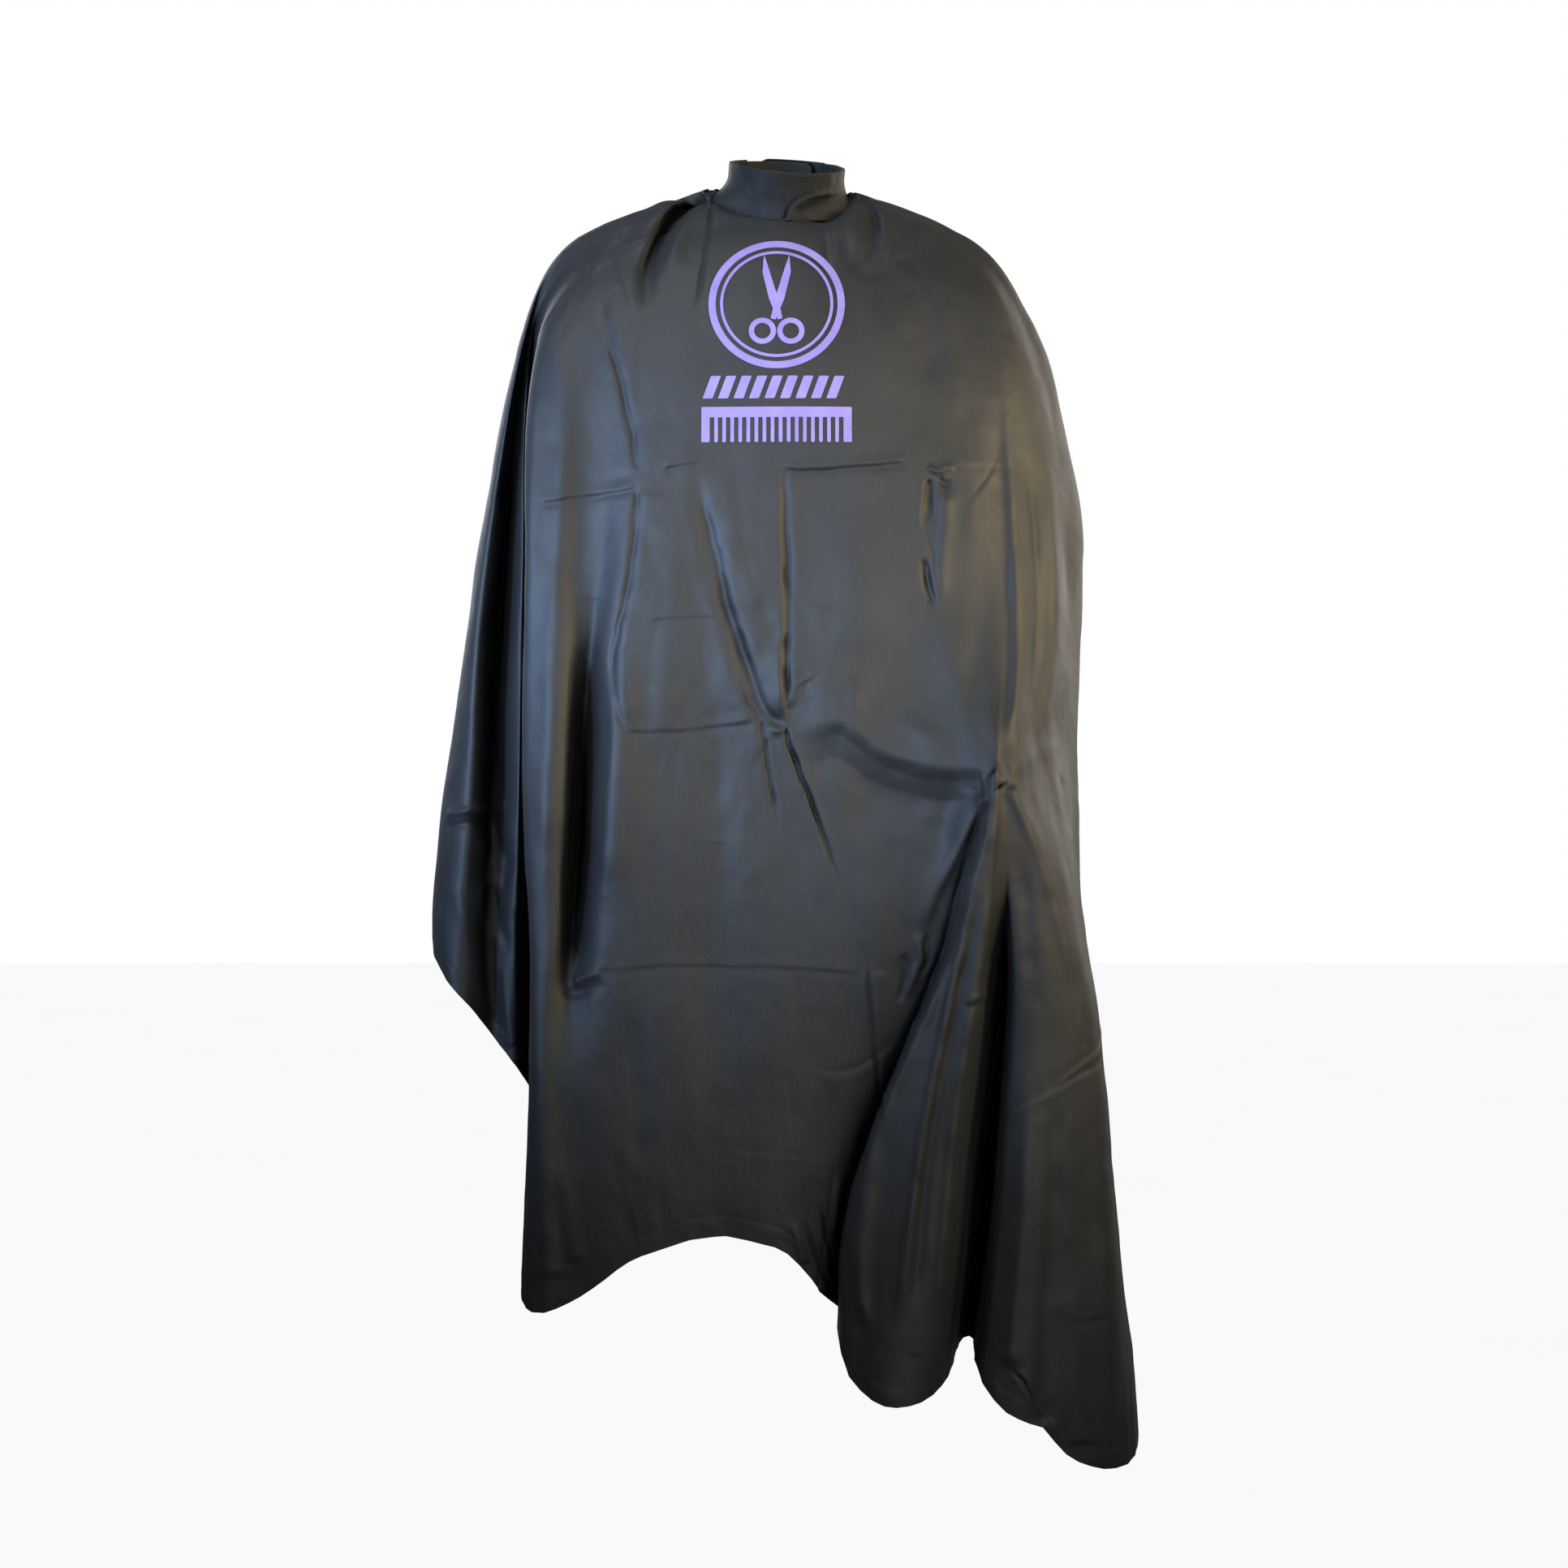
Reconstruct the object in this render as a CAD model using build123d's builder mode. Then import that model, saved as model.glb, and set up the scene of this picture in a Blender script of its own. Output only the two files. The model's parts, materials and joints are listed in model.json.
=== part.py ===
from build123d import *
import math
import os

# Hairdressing cape, in the shape it takes when it hangs closed round a neck.
# Millimetres. Origin: centre of the neckband. +Z up, -Y is the wearer's front,
# so +X is the wearer's left. The neckband leans forward and a little towards +X.
# "left" and "right" in piece names are as seen from the front: left is -X.
# Angles round the band run from +X towards +Y, so the nape is at 90 degrees.

# ---------------------------------------------------------------------------
# Dimensions
# ---------------------------------------------------------------------------

# neckband
band_height = 42.0           # finished height of the stand-up neckband
neck_radius = 55.0           # inside radius of the closed band
lining_t = 0.5               # inner facing of the band
interfacing_t = 0.8          # non-woven stiffener between facing and shell
shell_t = 0.6                # outer cloth of the band
ply_gap = 0.05               # air between plies
lean_deg = 17.0              # forward lean of the band
roll_deg = 3.5               # sideways lean of the band
interfacing_inset = 1.5      # stiffener stops short of the band's upper and lower edges
interfacing_tip_deg = 1.5    # and short of the tab tips

half_band = band_height / 2
r_interfacing = neck_radius + lining_t + ply_gap
r_shell = r_interfacing + interfacing_t + ply_gap
r_outer = r_shell + shell_t

# inner and outer radius of each ply
lining = (neck_radius, neck_radius + lining_t)
interfacing = (r_interfacing, r_interfacing + interfacing_t)
shell = (r_shell, r_outer)

# closure at the nape
outer_tab_hinge_deg = 45.0   # where the overlapping end of the band leaves the ring
outer_tab_tip_deg = 117.0
under_tab_hinge_deg = 135.0  # where the stud end of the band leaves the ring
under_tab_tip_deg = 64.0
tab_rise = 5.0               # the overlapping end stands off by the height of a snap
tab_climb_deg = 15.0         # angle over which it climbs
tab_steps = 24               # spline intervals along the overlapping end
hinge_radius = 56.0          # radius at which the hinge gaps are measured
hinge_gap_root = 2.2         # arc length from hinge line to the fixed part of the band
hinge_gap_tab = 1.2          # arc length from hinge line to the moving part

# snaps
stud_first_deg = 122.0
snap_pitch_deg = 13.0
stud_count = 5
stud_angles = [stud_first_deg - snap_pitch_deg * i for i in range(stud_count)]
socket_angles = [stud_angles[1], stud_angles[2]]
shank_r = 1.0
cloth_hole_r = shank_r + 0.1
snap_bore_r = shank_r + 0.05
snap_gap = 0.02              # air between a snap and the cloth under it
post_r, post_t = 4.0, 0.55
post_shank_length = 2.3
stud_base_r, stud_base_t = 5.0, 0.45
stud_neck_r, stud_height = 1.85, 2.2
stud_bead_r, stud_bead_t = 2.05, 0.5
stud_bead_lift = 1.5
socket_r, socket_t = 5.5, 2.1
socket_cavity_r, socket_cavity_depth = 2.45, 1.75
socket_from_r = r_outer + 0.6
socket_bore_from_r = 59.0
cap_rim_t = 0.7
cap_dome_r, cap_dome_t = 3.6, 1.1
cap_chamfer = 0.25
cap_shank_from_r, cap_shank_length = 59.5, 2.8

# cloth
cloth_t = 1.6                # modelled cloth thickness, with its folds and seams
hem_width = 20.0             # depth of the turned hem
back_slit = 5.0              # half width of the back opening at its top
back_slit_low = 16.0         # half width of the back opening at its foot
seam_y = 14.0                # depth at which the front hem line gives way to the back one
back_from_y = 40.0           # cutters for the back only start here
reach = 400.0                # depth of the cutters, beyond the cape front and back
slit_top_z, slit_low_z = 60, -1300

# free back edges: each swings about a slanting line, given on the +X side
hinge_apex_x, hinge_apex_z = 7.0, -160.0
hinge_low_x, hinge_low_z = 150.0, -704.0
flap_top_z = -206.0
body_gap = 3.0               # from hinge line outboard to the body
flap_gap = 1.5               # from hinge line inboard to the flap

# pieces sewn to the inside
facing_gap, facing_t = 0.15, 0.6
facing_width = 15.5
facing_setback = 0.5         # from the free back edge
facing_drop = 12.0           # facing starts this far below the flap's top
hem_setback = 0.3            # turned hem stops short of the hem line by this much

# pieces on the outside
outside_gap = 0.05           # air between cloth and print or thread
print_level = 0.35           # outer face of the print, from the cloth
stitch_level = 0.45          # outer face of the thread, from the cloth
stitch_width = 1.4
stitch_top = hem_width - 2   # upper edge of the stitching above the hem line

# neckband trim
binding_height = 6
thread_width = 0.6
band_stitch_heights = (half_band - 3.0, -half_band + 7.0)   # lower edge of each row


# ---------------------------------------------------------------------------
# Neckband helpers
# ---------------------------------------------------------------------------
def lean(vector):
    """Turn a vector from the upright frame into the leaning band's frame."""
    x, y, z = vector
    pitch, roll = math.radians(lean_deg), math.radians(roll_deg)
    y, z = (
        y * math.cos(pitch) - z * math.sin(pitch),
        y * math.sin(pitch) + z * math.cos(pitch),
    )
    x, z = (
        x * math.cos(roll) + z * math.sin(roll),
        -x * math.sin(roll) + z * math.cos(roll),
    )
    return (x, y, z)


band_plane = Plane(origin=(0, 0, 0), x_dir=lean((1, 0, 0)), z_dir=lean((0, 0, 1)))
outwards = (Align.CENTER, Align.CENTER, Align.MIN)   # stands a cylinder on its location


def polar(radius, deg):
    return (radius * math.cos(math.radians(deg)), radius * math.sin(math.radians(deg)))


def hinge_gap_deg(arc_length):
    return math.degrees(arc_length / hinge_radius)


def seats(radius, angles):
    """Locations at the band's mid height, with their Z pointing outwards."""
    return [
        Location(
            Plane(
                origin=lean((*polar(radius, deg), 0.0)),
                x_dir=lean((0, 0, 1)),
                z_dir=lean((*polar(1, deg), 0)),
            )
        )
        for deg in angles
    ]


def arc_ribbon(radii, span, h_low=-half_band, h_high=half_band, inset=0.0):
    """Curved strip of the band between two radii, over a span of angles."""
    r_in, r_out = radii
    start, end = span
    mid = (start + end) / 2
    with BuildPart() as ribbon:
        with BuildSketch(band_plane.offset(h_low + inset)):
            with BuildLine():
                inner = ThreePointArc(polar(r_in, start), polar(r_in, mid), polar(r_in, end))
                outer = ThreePointArc(polar(r_out, start), polar(r_out, mid), polar(r_out, end))
                Line(inner @ 0, outer @ 0)
                Line(inner @ 1, outer @ 1)
            make_face()
        extrude(amount=h_high - h_low - 2 * inset)
    return ribbon.part


pieces = {}

# --- fixed part of the band ---------------------------------------------------
fixed_span = (
    under_tab_hinge_deg + hinge_gap_deg(hinge_gap_root),
    360 + outer_tab_hinge_deg - hinge_gap_deg(hinge_gap_root),
)

pieces["neckband_shell"] = arc_ribbon(shell, fixed_span)
pieces["neckband_interfacing"] = arc_ribbon(interfacing, fixed_span, inset=interfacing_inset)
pieces["neckband_lining"] = arc_ribbon(lining, fixed_span)

pieces["neck_seam_binding"] = arc_ribbon(
    (r_outer + 0.1, r_outer + 0.8), fixed_span, -half_band, -half_band + binding_height
)

with BuildPart() as neckband_stitching:
    for row_h in band_stitch_heights:
        add(arc_ribbon((r_outer + 0.02, r_outer + 0.3), fixed_span, row_h, row_h + thread_width))
pieces["neckband_stitching"] = neckband_stitching.part

# --- under tab: carries the row of studs --------------------------------------
under_tab_root_deg = under_tab_hinge_deg - hinge_gap_deg(hinge_gap_tab)
under_tab_span = (under_tab_tip_deg, under_tab_root_deg)

pieces["under_tab_lining"] = arc_ribbon(lining, under_tab_span)

with BuildPart() as under_tab_shell:
    add(arc_ribbon(shell, under_tab_span))
    with Locations(*seats(r_shell - 1, stud_angles)):
        Cylinder(cloth_hole_r, 4, mode=Mode.SUBTRACT)
pieces["under_tab_shell"] = under_tab_shell.part

with BuildPart() as under_tab_interfacing:
    add(
        arc_ribbon(
            interfacing,
            (under_tab_tip_deg + interfacing_tip_deg, under_tab_root_deg),
            inset=interfacing_inset,
        )
    )
    with Locations(*seats(r_interfacing, stud_angles)):
        Cylinder(post_r + 0.2, 6, mode=Mode.SUBTRACT)
pieces["under_tab_interfacing"] = under_tab_interfacing.part

# posts lie in the interfacing's holes, with shanks through the shell
with BuildPart() as snap_posts:
    with Locations(*seats(r_interfacing + 0.05, stud_angles)):
        Cylinder(post_r, post_t, align=outwards)
    with Locations(*seats(r_interfacing + 0.3, stud_angles)):
        Cylinder(shank_r, post_shank_length, align=outwards)
pieces["snap_posts"] = snap_posts.part

with BuildPart() as snap_studs:
    with Locations(*seats(r_outer + snap_gap, stud_angles)):
        Cylinder(stud_base_r, stud_base_t, align=outwards)
        Cylinder(stud_neck_r, stud_height, align=outwards)
    with Locations(*seats(r_outer + stud_bead_lift, stud_angles)):
        Cylinder(stud_bead_r, stud_bead_t, align=outwards)
    with Locations(*seats(r_outer - 0.5, stud_angles)):
        Cylinder(snap_bore_r, 1.9, align=outwards, mode=Mode.SUBTRACT)
pieces["snap_studs"] = snap_studs.part

# --- outer tab: overlaps at the nape and carries the sockets ------------------
outer_tab_root_deg = outer_tab_hinge_deg + hinge_gap_deg(hinge_gap_tab)
raised_r = neck_radius + tab_rise


def tab_stand_off(deg):
    """Stand-off of the overlapping end: climbs over the first degrees, then level."""
    climb = min(max((deg - outer_tab_root_deg) / tab_climb_deg, 0.0), 1.0)
    return tab_rise * climb * climb * (3 - 2 * climb)


def outer_tab_ply(radii, tip_deg, hole_mid_r, inset=0.0):
    """One ply of the overlapping end, pierced for the snap shanks."""
    r_in, r_out = radii
    sweep = tip_deg - outer_tab_root_deg
    angles = [outer_tab_root_deg + sweep * i / tab_steps for i in range(tab_steps + 1)]
    with BuildPart() as ply:
        with BuildSketch(band_plane.offset(-half_band + inset)):
            with BuildLine():
                inner = Spline(*[polar(r_in + tab_stand_off(deg), deg) for deg in angles])
                outer = Spline(*[polar(r_out + tab_stand_off(deg), deg) for deg in angles])
                Line(inner @ 0, outer @ 0)
                Line(inner @ 1, outer @ 1)
            make_face()
        extrude(amount=band_height - 2 * inset)
        with Locations(*seats(hole_mid_r, socket_angles)):
            Cylinder(cloth_hole_r, 8, mode=Mode.SUBTRACT)
    return ply.part


pieces["outer_tab_lining"] = outer_tab_ply(lining, outer_tab_tip_deg, raised_r - 1)
pieces["outer_tab_interfacing"] = outer_tab_ply(
    interfacing, outer_tab_tip_deg - interfacing_tip_deg, raised_r, interfacing_inset
)
pieces["outer_tab_shell"] = outer_tab_ply(shell, outer_tab_tip_deg, raised_r)

# sockets sit between the two ends, inside the overlapping end's lining
with BuildPart() as snap_sockets:
    with Locations(*seats(socket_from_r, socket_angles)):
        Cylinder(socket_r, socket_t, align=outwards)
        Cylinder(socket_cavity_r, socket_cavity_depth, align=outwards, mode=Mode.SUBTRACT)
    with Locations(*seats(socket_bore_from_r, socket_angles)):
        Cylinder(snap_bore_r, 3, align=outwards, mode=Mode.SUBTRACT)
pieces["snap_sockets"] = snap_sockets.part

with BuildPart() as snap_caps:
    with Locations(*seats(r_outer + tab_rise + snap_gap, socket_angles)):
        Cylinder(socket_r, cap_rim_t, align=outwards)
        Cylinder(cap_dome_r, cap_dome_t, align=outwards)
    rim_edges = snap_caps.edges().filter_by(GeomType.CIRCLE).group_by(SortBy.LENGTH)[-1]
    chamfer(rim_edges, cap_chamfer)
    with Locations(*seats(cap_shank_from_r, socket_angles)):
        Cylinder(shank_r, cap_shank_length, align=outwards)
pieces["snap_caps"] = snap_caps.part

# ---------------------------------------------------------------------------
# Form of the hanging cloth
# ---------------------------------------------------------------------------
# Horizontal outlines: height, reach to the wearer's right and left, front and
# back depth, and how square the front and back halves are (2 is an ellipse).
outlines = [
    # z, x_min, x_max, front, back, n_front, n_back
    (-54.0, -206, 180, -92, 84, 2.0, 2.0),
    (-86.0, -238, 216, -118, 104, 2.1, 2.2),
    (-136.0, -256, 243, -138, 122, 2.3, 2.6),
    (-216.0, -278, 268, -158, 130, 2.5, 3.0),
    (-336.0, -300, 292, -176, 130, 2.6, 3.0),
    (-496.0, -323, 290, -192, 130, 2.6, 3.0),
    (-656.0, -343, 292, -204, 130, 2.6, 3.0),
    (-816.0, -330, 304, -212, 130, 2.6, 3.0),
    (-976.0, -303, 316, -216, 130, 2.6, 3.0),
    (-1064.0, -286, 324, -218, 130, 2.6, 3.0),
    (-1152.0, -272, 332, -219, 130, 2.6, 3.0),
    (-1240.0, -264, 340, -220, 130, 2.6, 3.0),
]
outline_points = 28

neck_ring = 58.6             # the cloth is gathered into the band's lower edge
neck_ring_drop = 0.4         # below the band
first_oval = (-132, 112, -76, 70, 2.0, 2.0)   # same columns as outlines, without z
first_oval_z = -33
first_oval_tilt_deg = 8      # leans forward, between the band's lean and level


def outline(x_min, x_max, front, back, n_front, n_back, inward):
    """Closed outline, starting at the back centre, moved inwards by `inward`."""
    x_centre, half_width = (x_min + x_max) / 2, (x_max - x_min) / 2
    raw = []
    for k in range(outline_points):
        turn = math.pi / 2 + 2 * math.pi * k / outline_points
        cosine, sine = math.cos(turn), math.sin(turn)
        power = n_back if sine > 0 else n_front
        depth = back if sine > 0 else -front
        x = x_centre + half_width * math.copysign(abs(cosine) ** (2 / power), cosine)
        y = depth * math.copysign(abs(sine) ** (2 / power), sine)
        raw.append((x, y))
    moved = []
    for k, (x, y) in enumerate(raw):
        x0, y0 = raw[k - 1]
        x1, y1 = raw[(k + 1) % outline_points]
        length = math.hypot(x1 - x0, y1 - y0)
        moved.append((x - (y1 - y0) / length * inward, y + (x1 - x0) / length * inward))
    return moved


def drape(inward, drop=0.0):
    """Solid inside of the hanging cape, moved inwards and down from its outer face."""
    tilt = math.radians(first_oval_tilt_deg)
    with BuildPart() as form:
        with BuildSketch(band_plane.offset(-half_band - neck_ring_drop)):
            with BuildLine():
                Spline(
                    *[
                        polar(neck_ring - inward, 90 + 360 * k / outline_points)
                        for k in range(outline_points)
                    ],
                    periodic=True,
                )
            make_face()
        first_plane = Plane(
            origin=(0, 0, first_oval_z - drop),
            x_dir=(1, 0, 0),
            z_dir=(0, -math.sin(tilt), math.cos(tilt)),
        )
        with BuildSketch(first_plane):
            with BuildLine():
                Spline(*outline(*first_oval, inward * 1.5), periodic=True)
            make_face()
        for z, *shape in outlines:
            with BuildSketch(Plane.XY.offset(z - drop)):
                with BuildLine():
                    Spline(*outline(*shape, inward), periodic=True)
                make_face()
        loft()
    return form.part


def skin_between(outer_form, inner_form):
    with BuildPart() as skin:
        add(outer_form)
        add(inner_form, mode=Mode.SUBTRACT)
    return skin.part


# ---------------------------------------------------------------------------
# Cutters
# ---------------------------------------------------------------------------
# hem lines, seen from the front, as (x, z)
front_hem = [
    (-380, -728), (-346, -744), (-318, -790), (-284, -836), (-262, -872), (-256, -960),
    (-250, -1068), (-236, -1084), (-204, -1075), (-170, -1053), (-136, -1031), (-90, -1016),
    (-56, -1013), (-22, -1019), (12, -1040), (42, -1080), (56, -1139), (72, -1158),
    (102, -1173), (138, -1160), (162, -1116), (171, -1108), (181, -1122), (190, -1152),
    (212, -1178), (242, -1192), (276, -1222), (302, -1230), (324, -1218), (334, -1177),
    (380, -1160),
]
back_hem = [
    (-380, -736), (-346, -744), (-300, -752), (-220, -740), (-150, -700), (-70, -668),
    (0, -655), (70, -668), (150, -704), (220, -790), (280, -930), (318, -1080), (334, -1177),
    (380, -1200),
]


def below(line, y0, y1, lift=0.0, floor_z=-1400.0):
    """Everything under a lifted hem line, between two depths."""
    points = [(x, z + lift) for x, z in line]
    with BuildPart() as cutter:
        with BuildSketch(Plane.XZ.offset(-y1)):
            with BuildLine():
                top = Polyline(*points)
                Polyline(top @ 1, (points[-1][0], floor_z), (points[0][0], floor_z), top @ 0)
            make_face()
        extrude(amount=y1 - y0)
    return cutter.part


def prism(corners, y0=back_from_y, y1=reach):
    """Prism along Y with (x, z) corners, between two depths."""
    with BuildPart() as block:
        with BuildSketch(Plane.XZ.offset(-y1)):
            with BuildLine():
                Polyline(*corners, close=True)
            make_face()
        extrude(amount=y1 - y0)
    return block.part


def hinge_region(shift, top, side):
    """Region of the back inboard of one side's hinge line, moved outboard by shift."""
    run, fall = hinge_low_x - hinge_apex_x, hinge_low_z - hinge_apex_z
    x_shift = shift / (-fall / math.hypot(run, fall))

    def on_line(z):
        return hinge_apex_x + (z - hinge_apex_z) / fall * run + x_shift

    corners = [(0, top), (on_line(top), top), (on_line(-900), -900), (0, -900)]
    return prism([(side * x, z) for x, z in corners])


back_opening = prism(
    [
        (-back_slit, slit_top_z),
        (back_slit, slit_top_z),
        (back_slit_low, slit_low_z),
        (-back_slit_low, slit_low_z),
    ],
    0,
)


def without_flaps(*solids):
    """The solids joined, less the two free back flaps."""
    with BuildPart() as body:
        for solid in solids:
            add(solid)
        for side in (1, -1):
            add(hinge_region(body_gap, flap_top_z + body_gap, side), mode=Mode.SUBTRACT)
    return body.part


def flap_of(solid, side):
    """The part of a solid that lies in one free back flap."""
    with BuildPart() as flap:
        add(solid)
        add(hinge_region(-flap_gap, flap_top_z, side), mode=Mode.INTERSECT)
    return flap.part


def hem_band(skin, line, y0, y1, upper, lower):
    """Strip of a skin between two heights above a hem line."""
    with BuildPart() as band:
        add(skin)
        add(below(line, y0, y1, upper), mode=Mode.INTERSECT)
        add(below(line, y0, y1, lower), mode=Mode.SUBTRACT)
    return band.part


# ---------------------------------------------------------------------------
# Cloth, turned hem and hem stitching, each split into body and two flaps
# ---------------------------------------------------------------------------
with BuildPart() as whole_cloth:
    add(drape(0.0))
    add(drape(cloth_t, 1.6), mode=Mode.SUBTRACT)
    add(below(front_hem, -reach, seam_y), mode=Mode.SUBTRACT)
    add(below(back_hem, seam_y, reach), mode=Mode.SUBTRACT)
    add(back_opening, mode=Mode.SUBTRACT)

inner_skin = skin_between(
    drape(cloth_t + facing_gap, 1.8), drape(cloth_t + facing_gap + facing_t, 2.5)
)
front_hem_strip = hem_band(inner_skin, front_hem, -reach, seam_y, hem_width, hem_setback)
back_hem_strip = hem_band(inner_skin, back_hem, seam_y, reach, hem_width, hem_setback)

clear_of_cloth = drape(-outside_gap)
stitch_skin = skin_between(drape(-stitch_level), clear_of_cloth)
stitch_low = stitch_top - stitch_width
front_stitch = hem_band(stitch_skin, front_hem, -reach, seam_y - 1, stitch_top, stitch_low)
with BuildPart() as back_stitch:
    add(hem_band(stitch_skin, back_hem, seam_y, reach, stitch_top, stitch_low))
    add(back_opening, mode=Mode.SUBTRACT)


def flap_hem(side):
    """Turned hem of a back flap, trimmed back from the free edge."""
    top_x, low_x = back_slit + facing_setback, back_slit_low + facing_setback
    slit = [(-1, slit_top_z), (top_x, slit_top_z), (low_x, slit_low_z), (-1, slit_low_z)]
    with BuildPart() as hem:
        add(flap_of(back_hem_strip, side))
        add(prism([(side * x, z) for x, z in slit]), mode=Mode.SUBTRACT)
    return hem.part


def edge_facing(side):
    """Facing along the free edge of a back flap, down to its turned hem."""
    top_x, low_x = back_slit + facing_setback, back_slit_low + facing_setback
    edge = [
        (top_x, slit_top_z),
        (top_x + facing_width, slit_top_z),
        (low_x + facing_width, slit_low_z),
        (low_x, slit_low_z),
    ]
    with BuildPart() as facing:
        add(inner_skin)
        add(hinge_region(-flap_gap, flap_top_z - facing_drop, side), mode=Mode.INTERSECT)
        add(prism([(side * x, z) for x, z in edge]), mode=Mode.INTERSECT)
        add(below(back_hem, seam_y, reach, hem_width + 0.3), mode=Mode.SUBTRACT)
    return facing.part


pieces["cape_cloth"] = without_flaps(whole_cloth.part)
pieces["hem_turnup"] = without_flaps(front_hem_strip, back_hem_strip)
pieces["hem_stitching"] = without_flaps(front_stitch, back_stitch.part)
for side_name, side in (("left", -1), ("right", 1)):
    pieces[f"back_flap_{side_name}"] = flap_of(whole_cloth.part, side)
    pieces[f"hem_turnup_flap_{side_name}"] = flap_hem(side)
    pieces[f"back_edge_facing_{side_name}"] = edge_facing(side)
    pieces[f"hem_stitching_flap_{side_name}"] = flap_of(back_stitch.part, side)

# --- care label, inside the back ----------------------------------------------
with BuildPart() as care_label:
    add(inner_skin)
    add(prism([(-64, -150), (-28, -150), (-28, -182), (-64, -182)]), mode=Mode.INTERSECT)
pieces["care_label"] = care_label.part

# ---------------------------------------------------------------------------
# Chest print: a round badge with open scissors, a row of slanting bars and a comb
# ---------------------------------------------------------------------------
badge_x, badge_z, badge_r = -9.0, -131.0, 65.0
wide_ring_inner_r = badge_r - 7
thin_ring_outer_r, thin_ring_inner_r = badge_r - 11, badge_r - 14
blade_pivot_z = badge_z + 4
blade_turn_deg = 15.0
# blade and shank of one half of the scissors, upright, as (x, z) from the pivot
blade = [(0.0, 46.0), (5.5, 30.0), (6.5, 2.0), (4.0, -20.0), (0.0, -20.0), (-1.0, 4.0)]
finger_ring_x, finger_ring_z = 13.5, -28.0      # from the badge centre
finger_ring_r, finger_hole_r = 13.0, 7.8

row_left, row_right = -80.0, 62.0
bar_count, bar_pitch = 9, 14.6
bar_z, bar_height, bar_width, bar_slant = -214.0, 22.0, 9.5, 8.0
comb_top, comb_spine, comb_tooth = -233.0, 10.0, 24.0
comb_end_width, tooth_width = 8, 3.6
tooth_count, tooth_pitch, first_tooth = 16, 7.6, 14


def badge_prism():
    with BuildPart() as badge:
        with BuildSketch(Plane.XZ):
            with Locations((badge_x, badge_z)):
                Circle(badge_r)
                Circle(wide_ring_inner_r, mode=Mode.SUBTRACT)
                Circle(thin_ring_outer_r)
                Circle(thin_ring_inner_r, mode=Mode.SUBTRACT)
            for side in (1, -1):
                turn = math.radians(blade_turn_deg) * side
                points = []
                for x, z in blade:
                    x = x * side
                    points.append(
                        (
                            badge_x + x * math.cos(turn) + z * math.sin(turn),
                            blade_pivot_z - x * math.sin(turn) + z * math.cos(turn),
                        )
                    )
                with BuildLine():
                    Polyline(*points, close=True)
                make_face()
                with Locations((badge_x - side * finger_ring_x, badge_z + finger_ring_z)):
                    Circle(finger_ring_r)
                    Circle(finger_hole_r, mode=Mode.SUBTRACT)
        extrude(amount=reach)
    return badge.part


def rows_prism():
    bar_low, bar_high = bar_z - bar_height / 2, bar_z + bar_height / 2
    comb_height = comb_spine + comb_tooth
    comb_mid = comb_top - comb_height / 2
    with BuildPart() as rows:
        with BuildSketch(Plane.XZ):
            for k in range(bar_count):
                x = row_left + 1 + bar_pitch * k
                with BuildLine():
                    Polyline(
                        (x, bar_low),
                        (x + bar_width, bar_low),
                        (x + bar_width + bar_slant, bar_high),
                        (x + bar_slant, bar_high),
                        close=True,
                    )
                make_face()
            with Locations(((row_left + row_right) / 2, comb_top - comb_spine / 2)):
                Rectangle(row_right - row_left, comb_spine)
            for x in (row_left + comb_end_width / 2, row_right - comb_end_width / 2):
                with Locations((x, comb_mid)):
                    Rectangle(comb_end_width, comb_height)
            for k in range(tooth_count):
                with Locations((row_left + first_tooth + tooth_pitch * k, comb_mid)):
                    Rectangle(tooth_width, comb_height)
        extrude(amount=reach)
    return rows.part


print_skin = skin_between(drape(-print_level), clear_of_cloth)
with BuildPart() as chest_print:
    add(badge_prism())
    add(rows_prism())
    add(print_skin, mode=Mode.INTERSECT)
pieces["chest_print"] = chest_print.part

# ---------------------------------------------------------------------------
# Export
# ---------------------------------------------------------------------------
os.makedirs("parts", exist_ok=True)
for name, part in pieces.items():
    part.label = name
    export_step(part, f"parts/{name}.step")
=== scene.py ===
"""A black satin cape, worn, with a snap-closed neckband and a printed chest badge.

Row frame: +Z up, the front towards -Y, the neck on the Z axis. "Left" is -X, which is
also left as seen from the front. Geometry is worked in millimetres and built in metres.
"""

import json
import math

import bmesh
import bpy
import numpy as np
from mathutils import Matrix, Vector
from mathutils.bvhtree import BVHTree


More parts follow.
